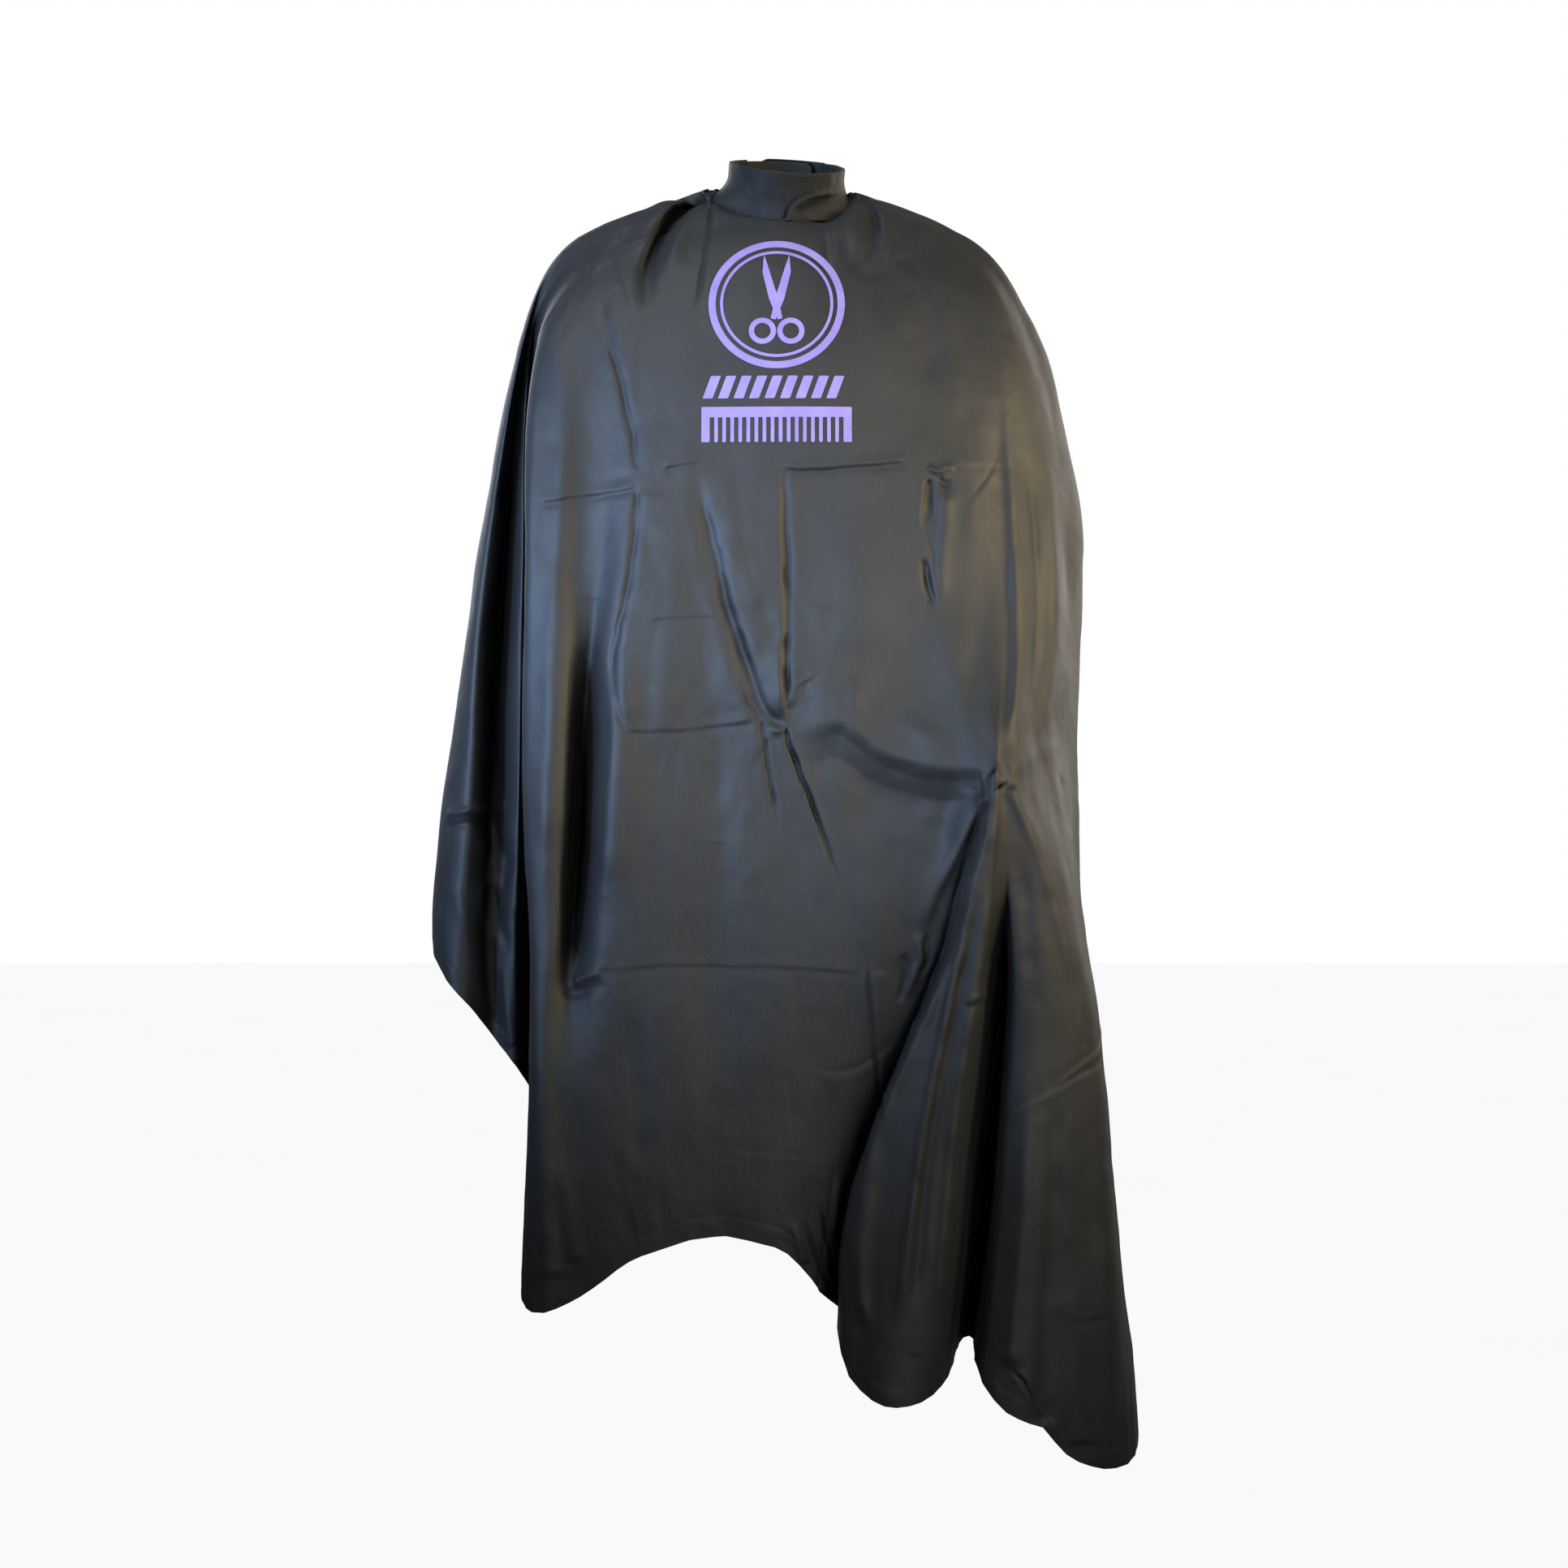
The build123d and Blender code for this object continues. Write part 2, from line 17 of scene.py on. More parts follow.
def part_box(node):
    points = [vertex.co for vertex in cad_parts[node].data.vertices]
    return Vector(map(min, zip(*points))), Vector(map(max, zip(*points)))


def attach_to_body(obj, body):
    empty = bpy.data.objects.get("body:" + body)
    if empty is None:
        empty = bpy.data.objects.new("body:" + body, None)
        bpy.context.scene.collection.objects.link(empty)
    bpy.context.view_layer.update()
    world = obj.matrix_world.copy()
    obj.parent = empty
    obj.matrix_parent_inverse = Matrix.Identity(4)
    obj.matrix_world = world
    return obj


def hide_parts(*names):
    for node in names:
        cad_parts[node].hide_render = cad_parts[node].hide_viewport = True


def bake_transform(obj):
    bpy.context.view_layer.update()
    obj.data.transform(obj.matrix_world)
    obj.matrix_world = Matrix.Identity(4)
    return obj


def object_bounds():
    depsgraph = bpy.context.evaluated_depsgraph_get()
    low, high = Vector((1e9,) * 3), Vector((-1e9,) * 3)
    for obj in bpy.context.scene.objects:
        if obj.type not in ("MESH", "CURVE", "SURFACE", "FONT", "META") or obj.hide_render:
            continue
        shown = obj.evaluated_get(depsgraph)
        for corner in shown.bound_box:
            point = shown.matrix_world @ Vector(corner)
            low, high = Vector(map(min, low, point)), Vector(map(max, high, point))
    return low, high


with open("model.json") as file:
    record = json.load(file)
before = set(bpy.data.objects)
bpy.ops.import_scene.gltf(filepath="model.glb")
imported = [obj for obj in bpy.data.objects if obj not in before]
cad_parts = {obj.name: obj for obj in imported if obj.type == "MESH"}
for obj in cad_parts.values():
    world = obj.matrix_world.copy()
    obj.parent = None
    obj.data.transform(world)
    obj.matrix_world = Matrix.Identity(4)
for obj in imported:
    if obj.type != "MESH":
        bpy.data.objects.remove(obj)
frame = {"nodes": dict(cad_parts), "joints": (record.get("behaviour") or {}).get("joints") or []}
cad_lo, cad_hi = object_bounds()
MM = 0.001

# The front of the cloth is drawn on the plane y = 0 as the camera sees it. A drawn point
# is (across, down) in mm from the plane's upper left corner; depth is mm towards the camera.
CAMERA_DIST, CAMERA_X, CAMERA_Z = 3000.0, -2.0, -588.8
PLANE_SIZE = 1545.6                  # what the camera sees of the plane
PLANE_MID = PLANE_SIZE / 2

# cloth grid: rows run down each fall line, columns round the body from the nape's left
ROWS = 540
FRONT_STEP, BACK_STEP = ((2.7, 4.6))     # column spacing
STROKES = 330       # random short creases
CLOTH_T = 0.7
HEM_W = 20.0
FACING_W = 16.0
LINING_GAP = CLOTH_T + 0.12          # depth of a turned-in layer below the outer face


def table(text):
    """Rows of numbers, parted by commas, as an array."""
    return np.array([row.split() for row in text.split(",")], float)


def to_row(drawn):
    """(across, down, depth) on the front plane to row-frame millimetres."""
    drawn = np.asarray(drawn, float)
    across, down, depth = drawn[..., 0], drawn[..., 1], drawn[..., 2]
    k = (CAMERA_DIST - depth) / CAMERA_DIST
    return np.stack([CAMERA_X + (across - PLANE_MID) * k, -depth,
                     CAMERA_Z + (PLANE_MID - down) * k], -1)


def to_plane(points):
    """Row-frame millimetres to (across, down, depth) on the front plane."""
    depth = -points[..., 1]
    k = (CAMERA_DIST - depth) / CAMERA_DIST
    return np.stack([PLANE_MID + (points[..., 0] - CAMERA_X) / k,
                     PLANE_MID - (points[..., 2] - CAMERA_Z) / k, depth], -1)


def smooth(t):
    t = np.clip(t, 0, 1)
    return t * t * (3 - 2 * t)


def unit(vectors):
    return vectors / np.linalg.norm(vectors, axis=-1, keepdims=True)


def running_length(line):
    steps = np.linalg.norm(np.diff(line, axis=0), axis=1)
    return np.concatenate([[0], np.cumsum(steps)])


def along_line(at, length, line):
    """Columns of `line` read at the running lengths `at`."""
    return np.stack([np.interp(at, length, column) for column in line.T], 1)


# ---------------------------------------------------------------------------
# repeatable gradient noise
# ---------------------------------------------------------------------------
def lattice_hash(i, j, k, seed):
    i, j, k = (a.astype(np.int64).astype(np.uint64) for a in (i, j, k))
    n = (
        i * np.uint64(73856093)
        ^ j * np.uint64(19349663)
        ^ k * np.uint64(83492791)
        ^ np.uint64(seed * 2654435761 % (1 << 32))
    )
    n = (n ^ (n >> np.uint64(13))) * np.uint64(1274126177)
    n = n ^ (n >> np.uint64(16))
    n = (n * np.uint64(2246822519)) & np.uint64(0xFFFFFFFF)
    return (n ^ (n >> np.uint64(15))).astype(np.float64) / 4294967295.0


# turns the lattice away from the axes
TURN = table("0.802 0.503 -0.322, -0.566 0.812 -0.142, 0.190 0.296 0.936")
GRADIENTS = table(
    "1 1 0, -1 1 0, 1 -1 0, -1 -1 0, 1 0 1, -1 0 1, 1 0 -1, -1 0 -1,"
    "0 1 1, 0 -1 1, 0 1 -1, 0 -1 -1, 1 1 1, -1 -1 1, 1 -1 -1, -1 1 -1"
)


def noise3(points, cell, seed):
    """Smooth noise, about -1..1, at points (n, 3), with cells `cell` mm wide."""
    q = (points / np.asarray(cell, float)) @ TURN.T + seed * 17.31
    base = np.floor(q)
    r = q - base
    f = r * r * r * (r * (r * 6 - 15) + 10)
    total = np.zeros(len(q))
    for dx in (0, 1):
        for dy in (0, 1):
            for dz in (0, 1):
                pick = lattice_hash(base[:, 0] + dx, base[:, 1] + dy, base[:, 2] + dz, seed)
                g = GRADIENTS[(pick * 15.999).astype(int)]
                weight = (
                    (f[:, 0] if dx else 1 - f[:, 0])
                    * (f[:, 1] if dy else 1 - f[:, 1])
                    * (f[:, 2] if dz else 1 - f[:, 2])
                )
                total += weight * (g[:, 0] * (r[:, 0] - dx) + g[:, 1] * (r[:, 1] - dy)
                                   + g[:, 2] * (r[:, 2] - dz))
    return np.clip(total * 1.25, -1, 1)


def plane_noise(points, layer, cell, seed):
    """Noise for drawn points; `layer` picks a slice of it."""
    return noise3(np.c_[points, np.full(len(points), layer)], cell, seed)


# ---------------------------------------------------------------------------
# splines
# ---------------------------------------------------------------------------
def catmull(points, per_span):
    """Centripetal Catmull-Rom along axis 0; per_span is one sample count or one per span."""
    counts = np.broadcast_to(per_span, len(points) - 1)
    P = np.concatenate([2 * points[:1] - points[1:2], points, 2 * points[-1:] - points[-2:-1]])
    knots = np.maximum(np.linalg.norm(np.diff(P, axis=0), axis=-1), 1e-3) ** 0.5
    samples = []
    for i in range(1, len(P) - 2):
        p0, p1, p2, p3 = P[i - 1 : i + 3]
        a, b, c = (knots[j][..., None] for j in (i - 1, i, i + 1))
        m1 = b * ((p1 - p0) / a - (p2 - p0) / (a + b) + (p2 - p1) / b)
        m2 = b * ((p2 - p1) / b - (p3 - p1) / (b + c) + (p3 - p2) / c)
        for s in np.arange(counts[i - 1]) / counts[i - 1]:
            s2, s3 = s * s, s * s * s
            samples.append((2 * s3 - 3 * s2 + 1) * p1 + (s3 - 2 * s2 + s) * m1
                           + (-2 * s3 + 3 * s2) * p2 + (s3 - s2) * m2)
    samples.append(P[-2])
    return np.array(samples)


def resample(line, count):
    length = running_length(line)
    return along_line(np.linspace(0, 1, count) * length[-1], length, line)


def settle(line):
    """Three passes of a running mean, mirrored past the ends."""
    k = max(3, int(ROWS * 0.012))
    kernel = np.ones(2 * k + 1) / (2 * k + 1)
    for _ in range(3):
        padded = np.concatenate([2 * line[:1] - line[1 : k + 1][::-1], line,
                                 2 * line[-1:] - line[-k - 1 : -1][::-1]])
        line = np.stack([np.convolve(column, kernel, "valid") for column in padded.T], 1)
    return line


# ---------------------------------------------------------------------------
# fall lines: from the neck seam to the hem, in order round the body
# ---------------------------------------------------------------------------
def ring(phi):
    """Point on the neck seam; phi in degrees from the front centre, negative towards -X."""
    a = math.radians(phi)
    side = math.sin(a)
    shoulder = abs(side) ** (10 if math.cos(a) > 0 else 6)     # widens and lifts both sides
    dip = 4.0 * math.exp(-(((phi - 38) / 17) ** 2))
    return (
        -1.2 + 58.2 * side + (-10.4 if side < 0 else 7.6) * shoulder,
        6.3 - 56.0 * math.cos(a),
        -22.0 - 19.5 * math.cos(a) - 3.6 * side + (16.0 if side < 0 else 20.0) * shoulder - dip,
    )


# phi, then x y z down the line
BACK_LEFT = [
    (-175, """-5.4 84 -14, -5.8 106 -42, -6.4 121 -85, -7 128.5 -140, -7.6 130 -220,
        -8.8 130 -380, -10 129 -540, -10.9 128 -655"""),
    (-163, """-26 83 -14, -34 106 -40, -42 121 -80, -48 129 -140, -52 132 -220,
        -58 134 -380, -64 136 -540, -68 136 -664"""),
    (-150, """-46 80 -13, -62 103 -38, -76 116 -80, -86 121 -140, -94 121 -220,
        -106 117 -380, -118 113 -540, -126 110 -686"""),
    (-136, """-64 75 -12, -92 96 -36, -114 109 -78, -130 117 -140, -142 121 -220,
        -160 125 -380, -176 128 -540, -186 130 -712"""),
    (-121, """-80 66 -11, -120 82 -36, -150 91 -80, -172 94 -140, -188 95 -220,
        -210 92 -380, -228 89 -540, -240 87 -736"""),
    (-107, """-82 48 -9, -136 58 -36, -180 66 -84, -206 74 -140, -226 81 -220,
        -254 90 -380, -278 97 -540, -294 101 -752"""),
    (-98, """-76 26 -5, -140 32 -30, -200 36 -76, -232 38 -140, -256 40 -220,
        -288 42 -380, -316 44 -540, -334 45 -752"""),
]
BACK_RIGHT = [
    (98, """76 26 -6, 138 30 -30, 196 32 -78, 226 30 -140, 250 26 -220, 280 16 -380,
        286 10 -540, 286 2 -700, 300 -16 -860, 314 -30 -1010, 328 -38 -1168"""),
    (107, """80 46 -9, 132 54 -36, 176 60 -84, 202 64 -140, 222 68 -220, 250 70 -380,
        260 66 -540, 262 60 -700, 272 50 -860, 286 40 -1010, 300 34 -1086"""),
    (121, """78 64 -11, 116 80 -36, 146 90 -80, 166 96 -140, 182 100 -220, 206 104 -380,
        220 104 -540, 232 100 -700, 244 94 -840, 252 92 -940"""),
    (136, """62 74 -12, 90 94 -36, 110 104 -78, 126 108 -140, 138 108 -220, 156 104 -380,
        172 98 -540, 184 94 -700, 192 92 -812"""),
    (150, """45 79 -13, 62 102 -38, 75 118 -80, 85 125 -140, 93 129 -220, 105 132 -380,
        118 134 -540, 127 135 -715"""),
    (163, """26 82 -14, 34 105 -40, 41 119 -80, 47 124 -140, 51 125 -220, 58 122 -380,
        64 119 -540, 69 117 -674"""),
    (175, """5.4 84 -14, 5.8 106 -42, 6.4 121 -85, 7 128.5 -140, 7.6 131 -220, 8.8 132 -380,
        10 132 -540, 10.9 131 -655"""),
]
# the outline at each side (across, down), with depth against down
LEFT_EDGE = """694.4 187.6, 683.2 190.8, 667.2 196.8, 647.2 203.2, 626.4 209.6, 608.8 216,
    592 222.4, 578.4 228.8, 567.2 235.2, 555.2 245.6, 543.2 260, 532.8 280, 524.8 300,
    518.4 320, 512 340, 507.2 360, 501.6 380, 496.8 400, 488.8 440, 482.4 480, 475.2 520,
    468 560, 463.2 600, 457.6 640, 452 680, 446.4 720, 440.8 760, 435.2 800, 431.2 840,
    427.2 880, 425.6 912, 427.2 940.8"""
LEFT_EDGE_DEPTH = "184 0, 240 0, 320 4, 480 8, 720 12, 940.8 20"
RIGHT_EDGE = """844.8 190.4, 852.8 192.8, 864 196.8, 882.4 203.2, 899.2 209.6, 915.2 216,
    929.6 222.4, 942.4 228.8, 955.2 235.2, 969.6 245.6, 984 260, 997.6 280, 1008 300,
    1019.2 320, 1028 340, 1035.2 360, 1040 380, 1044 400, 1052.8 440, 1061.6 480, 1065.6 508,
    1067.2 532, 1066.4 560, 1065.6 600, 1064 640, 1062.4 680, 1060.8 720, 1060 760, 1060 800,
    1060.8 840, 1064 880, 1067.2 904, 1074.4 960, 1084 1040, 1092 1120, 1100 1200,
    1108.8 1280, 1116.8 1360, 1121.6 1416, 1120.8 1428"""
RIGHT_EDGE_DEPTH = """184 0, 240 2, 320 6, 480 14, 640 22, 760 32, 880 48, 1040 72,
    1200 92, 1360 105, 1432 108"""
# name, phi, then across down depth down the line
FRONT = [
    ("left 1", -78, """694.4 190.4 8, 680 196 11, 637.6 209.6 12, 593.6 224 13,
        562.4 241.6 14, 540.8 265.6 15, 528 292.8 17, 520 320 19, 512 352 22, 502.4 400 25,
        493.6 456 28, 484 520 33, 474.4 600 38, 468 680 42, 464.8 760 46, 459.2 840 48,
        454.4 904 48, 452.8 982.4 50"""),
    ("left 2", -70, """696.8 193.6 13, 678.4 200 16, 636.8 212.8 17, 594.4 227.2 18,
        564 245.6 18, 542.4 268.8 17, 529.6 294.4 15, 523.2 320 13, 517.6 352 10, 512 400 7,
        506.4 456 5, 499.2 520 3, 493.6 600 2, 488.8 680 3, 486.4 760 7, 482.4 840 14,
        479.2 920 20, 483.2 1020.8 24"""),
    ("left 3", -65, """699.2 197.6 16, 680 203.2 20, 638.4 216 22, 597.6 230.4 23,
        567.2 248.8 22, 545.6 272 20, 532 296 17, 525.6 320 14, 521.6 352 13, 518.4 400 14,
        516 456 20, 516 520 27, 514.4 600 34, 512.8 680 39, 512 760 41, 510.4 840 40,
        508 920 35, 508.8 1049.6 32"""),
    ("left valley", -60, """701.6 201.6 20, 681.6 207.2 24, 641.6 219.2 26, 601.6 233.6 27,
        570.4 252 26, 548 274.4 23, 534.4 297.6 19, 527.2 321.6 13, 524 352 5, 521.6 400 -4,
        520 456 -6, 520 520 -4, 519.2 600 -2, 518.4 680 0, 518.4 760 1, 520 840 1,
        521.6 920 1, 525.6 1000 2, 529.6 1076 4"""),
    ("left riser", -54, """705.6 206.4 26, 684.8 214.4 30, 648.8 224.8 34, 609.6 239.2 36,
        578.4 257.6 37, 555.2 280 37, 540.8 301.6 36, 532.8 323.2 34, 528.8 352 33,
        527.2 400 36, 526.4 456 40, 527.2 520 44, 527.2 600 48, 525.6 680 52, 525.6 760 55,
        528.8 840 58, 532 920 61, 533.6 1008 64, 532.8 1096 66, 529.6 1184 68"""),
    ("panel edge", -48, """709.6 209.6 32, 689.6 218.4 38, 655.2 229.6 43, 617.6 244.8 48,
        587.2 263.2 52, 563.2 284.8 56, 547.2 304 60, 536 321.6 64, 529.6 348.8 72,
        524 384 82, 521.6 432 94, 520 496 106, 518.4 600 120, 516.8 720 130, 520 840 138,
        524 920 140, 524 992 140, 521.6 1068 140, 518.4 1160 139, 516 1240 138,
        514.8 1283.2 138"""),
    ("front 1", -40, """717.6 216 41, 699.2 227.2 49, 665.6 239.2 56, 632 254.4 62,
        601.6 273.6 68, 577.6 294.4 74, 561.6 316 80, 553.6 340 86, 549.6 384 97, 548 448 108,
        548.8 512 118, 552 592 129, 555.2 648 135, 556.8 704 139, 555.2 768 143, 552 840 146,
        548 904 148, 540.8 968 150, 533.6 1040 150, 530.4 1120 150, 529.6 1200 149,
        531.2 1293.6 147"""),
    ("front 2", -31, """726.4 221.6 49, 713.6 231.2 58, 684.8 248 68, 654.4 268 78,
        628 290.4 86, 608 316 93, 597.6 344 99, 592 384 106, 589.6 448 114, 588.8 512 120,
        586.4 576 124, 583.2 624 124, 578.4 672 120, 574.4 720 115, 570.4 776 112, 568 840 112,
        564.8 896 117, 563.2 936 127, 561.6 976 138, 560.8 1040 150, 560 1120 152,
        559.2 1200 151, 560 1284.8 149"""),
    ("front 3", -23, """736.8 226.4 56, 726.4 236.8 65, 704 256 77, 680.8 280 88,
        660.8 305.6 98, 644.8 332 105, 634.4 360 111, 626.4 400 118, 620.8 480 129,
        615.2 560 138, 609.6 640 145, 606.4 704 149, 600.8 784 152, 595.2 880 154,
        594.4 960 155, 595.2 1040 156, 596 1120 156, 596 1200 155, 596 1261.6 153"""),
    ("front 4", -15, """748 229.6 61, 740.8 241.6 70, 725.6 264 84, 710.4 289.6 96,
        696 316 106, 684.8 344 114, 676 376 121, 668.8 416 127, 662.4 480 135, 657.6 560 143,
        654.4 640 149, 653.6 720 153, 652 800 156, 650.4 960 159, 649.6 1040 160,
        649.6 1120 160, 649.6 1192 159, 649.6 1232.8 158"""),
    ("front 5", -7, """760 232 64, 756 246.4 75, 747.2 268.8 89, 737.6 294.4 101,
        729.6 321.6 111, 723.2 352 119, 718.4 392 127, 714.4 448 134, 712.8 512 141,
        711.2 600 148, 710.4 688 152, 710.4 800 156, 710.4 960 159, 711.2 1040 160,
        712 1120 160, 712 1184 160, 713.6 1218.4 159"""),
    ("front 6", 1, """774.4 233.6 66, 773.6 247.2 76, 772.8 269.6 91, 772 295.2 103,
        771.2 322.4 113, 770.4 352.8 121, 770.4 392 129, 771.2 448 137, 772.8 512 144,
        773.6 600 152, 775.2 688 157, 776 800 161, 775.2 880 163, 774.4 960 164, 772 1040 164,
        769.6 1120 163, 766.4 1192 162, 764 1229.6 161"""),
    ("front 7", 11, """789.6 233.6 65, 792.8 246.4 75, 798.4 267.2 89, 804.8 292.8 101,
        811.2 320 111, 816 352 120, 821.6 392 128, 828.8 448 137, 833.6 512 145, 838.4 592 153,
        844.8 672 160, 851.2 744 166, 856 824 170, 856 888 171, 849.6 960 168, 838.4 1040 162,
        827.2 1120 156, 817.6 1200 151, 806.4 1272 147"""),
    ("cone valley", 19, """802.4 232 62, 812 244 71, 825.6 263.2 82, 840 288.8 94,
        852 316.8 104, 861.6 352 113, 870.4 396 122, 880.8 456 133, 890.4 528 143,
        901.6 608 153, 916 680 164, 937.6 736 176, 956.8 788 186, 958.4 840 184, 949.6 896 177,
        924.8 968 167, 899.2 1040 155, 875.2 1112 140, 857.6 1184 126, 844.8 1248 118,
        835.2 1297.6 115"""),
    ("cone edge", 24, """808.8 230.4 60, 822.4 242.4 68, 839.2 260 78, 856.8 284.8 90,
        872 313.6 100, 883.2 349.6 109, 893.6 393.6 118, 905.6 456 130, 916 528 141,
        926.4 608 153, 939.2 680 167, 956.8 740 183, 967.2 788 194, 962.4 840 193,
        945.6 896 189, 916.8 968 185, 887.2 1040 181, 858.4 1112 177, 837.6 1176 174,
        827.2 1240 172, 824.4 1310.4 170"""),
    ("cone 1", 28, """814.4 228.8 58, 829.6 240 65, 849.6 256.8 74, 869.6 280.8 86,
        885.6 309.6 96, 897.6 346.4 105, 908 391.2 115, 920 456 128, 930.4 528 139,
        940.8 608 152, 952 680 169, 966.4 740 188, 972.8 788 201, 969.6 840 203, 956.8 896 202,
        934.4 968 200, 910.4 1040 198, 886.4 1112 196, 870.4 1184 194, 857.6 1272 192,
        850.4 1371.2 190"""),
    ("cone 2", 33, """820 227.2 56, 839.2 238.4 63, 861.6 253.6 70, 884 276.8 81,
        900.8 305.6 91, 913.6 342.4 101, 924.8 388.8 111, 936 456 125, 944.8 528 137,
        953.6 608 151, 963.2 680 170, 973.6 740 193, 976.8 788 204, 975.2 840 206,
        966.4 896 206, 950.4 968 205, 932.8 1040 204, 916 1112 203, 902.4 1184 202,
        892 1280 200, 884.8 1388 198"""),
    ("cone 3", 38, """826.4 224 52, 848.8 234.4 58, 874.4 249.6 65, 898.4 272.8 76,
        916.8 300.8 85, 931.2 338.4 95, 942.4 385.6 105, 952 456 120, 959.2 528 134,
        965.6 608 149, 972 680 170, 978.4 740 195, 980 788 205, 979.2 840 207, 972.8 896 205,
        965.6 968 201, 959.2 1040 198, 950.4 1112 195, 941.6 1184 192, 932 1272 188,
        920 1375.2 184"""),
    ("cone 4", 42, """829.6 222.4 49, 853.6 232 55, 880.8 247.2 61, 906.4 270.4 71,
        925.6 298.4 80, 940 336 90, 951.2 384 101, 960.8 456 116, 967.2 528 131, 972 608 147,
        976.8 680 169, 980.8 740 196, 982.4 788 205, 982.4 840 205, 979.2 896 198,
        974.4 968 180, 968.8 1040 165, 960.8 1112 156, 952.8 1184 150, 944 1272 146,
        936 1350.4 142"""),
    ("deep valley", 47, """832.8 220.8 47, 858.4 230.4 52, 887.2 245.6 58, 913.6 268 67,
        933.6 296 76, 948.8 334.4 86, 960 382.4 97, 968.8 456 113, 974.4 528 128,
        977.6 608 145, 980.8 680 168, 983.2 740 196, 984.8 788 203, 987.2 840 202,
        989.6 888 192, 991.2 928 168, 990.4 968 136, 986.4 1040 104, 980.8 1112 84,
        973.6 1184 72, 963.2 1256 66, 953.6 1317.6 64"""),
    ("right 1", 54, """839.2 216.8 41, 868 226.4 45, 900 241.6 50, 928 264 58, 949.6 291.2 66,
        966.4 330.4 76, 978.4 380 87, 985.6 456 104, 989.6 528 121, 991.2 608 140,
        990.4 680 164, 988.8 740 192, 990.4 788 200, 994.4 840 198, 997.6 896 193,
        998.4 968 186, 994.4 1040 180, 988 1112 176, 980.8 1184 172, 971.2 1264 168,
        960.8 1345.6 166"""),
    ("right 2", 62, """844.8 212 34, 877.6 221.6 38, 912.8 237.6 42, 942.4 260 48,
        964.8 287.2 55, 984.8 328 64, 998.4 378.4 75, 1006.4 456 92, 1010.4 528 110,
        1011.2 608 131, 1008 680 154, 1001.6 740 183, 1005.6 788 193, 1018.4 840 192,
        1026.4 896 191, 1032 968 191, 1030.4 1040 190, 1025.6 1112 190, 1019.2 1184 190,
        1010.4 1280 189, 1000 1396.8 187"""),
    ("right 3", 70, """848 205.6 25, 885.6 216 28, 923.2 232.8 32, 954.4 255.2 36,
        978.4 282.4 41, 1000.8 324.8 49, 1016.8 376 59, 1027.2 456 75, 1032 528 92,
        1032 608 110, 1027.2 680 130, 1020 740 154, 1025.6 788 165, 1040.8 840 170,
        1051.2 896 173, 1060.8 968 176, 1063.2 1040 178, 1061.6 1112 180, 1056.8 1184 180,
        1047.2 1280 179, 1032 1414.4 176"""),
    ("right 4", 79, """848 197.6 13, 892 212 15, 932.8 229.6 18, 964 251.2 20,
        988.8 279.2 23, 1011.2 322.4 29, 1028.8 374.4 37, 1044 456 51, 1049.6 528 64,
        1049.6 608 76, 1046.4 680 90, 1042.4 740 106, 1047.2 788 118, 1056 840 128,
        1064.8 896 136, 1075.2 968 145, 1083.2 1040 150, 1088.8 1112 154, 1092 1184 157,
        1093.6 1280 157, 1086.4 1448 152"""),
]


def side_edge(outline, depths):
    outline, depths = table(outline), table(depths)
    depth = np.interp(outline[:, 1], depths[:, 0], depths[:, 1])
    return to_row(np.c_[outline, depth])


falls = [("back", phi, table(text)) for phi, text in BACK_LEFT]
falls.append(("left edge", -90, side_edge(LEFT_EDGE, LEFT_EDGE_DEPTH)))
falls += [(name, phi, to_row(table(text))) for name, phi, text in FRONT]
falls.append(("right edge", 90, side_edge(RIGHT_EDGE, RIGHT_EDGE_DEPTH)))
falls += [("back", phi, table(text)) for phi, text in BACK_RIGHT]
names = [fall[0] for fall in falls]


def fall_line(name, phi, points):
    """One evenly sampled fall line, settled except near its ends."""
    drawn = resample(catmull(np.vstack([ring(phi), points]), 24), ROWS)
    settled = settle(drawn)
    if name in ("left edge", "right edge"):
        settled = drawn * 0.75 + settled * 0.25
    top = smooth(np.linspace(0, 1, ROWS) / 0.10)[:, None]
    bottom = smooth(np.linspace(1, 0, ROWS) / 0.05)[:, None]
    return drawn * (1 - top * bottom) + settled * (top * bottom)


lines = np.array([fall_line(*fall) for fall in falls])
widest = np.linalg.norm(np.diff(lines[:, ROWS // 2 :: 7], axis=0), axis=-1).max(1)
spans = []
for i, width in enumerate(widest):
    step = BACK_STEP if "back" in names[i : i + 2] else FRONT_STEP
    spans.append(int(np.clip(round(width / step), 4, 60)))
col_of = dict(zip(names, np.concatenate([[0], np.cumsum(spans)])))
cloth = catmull(lines, spans)                           # columns, rows, 3
COLUMNS = cloth.shape[0]
columns = np.arange(COLUMNS)

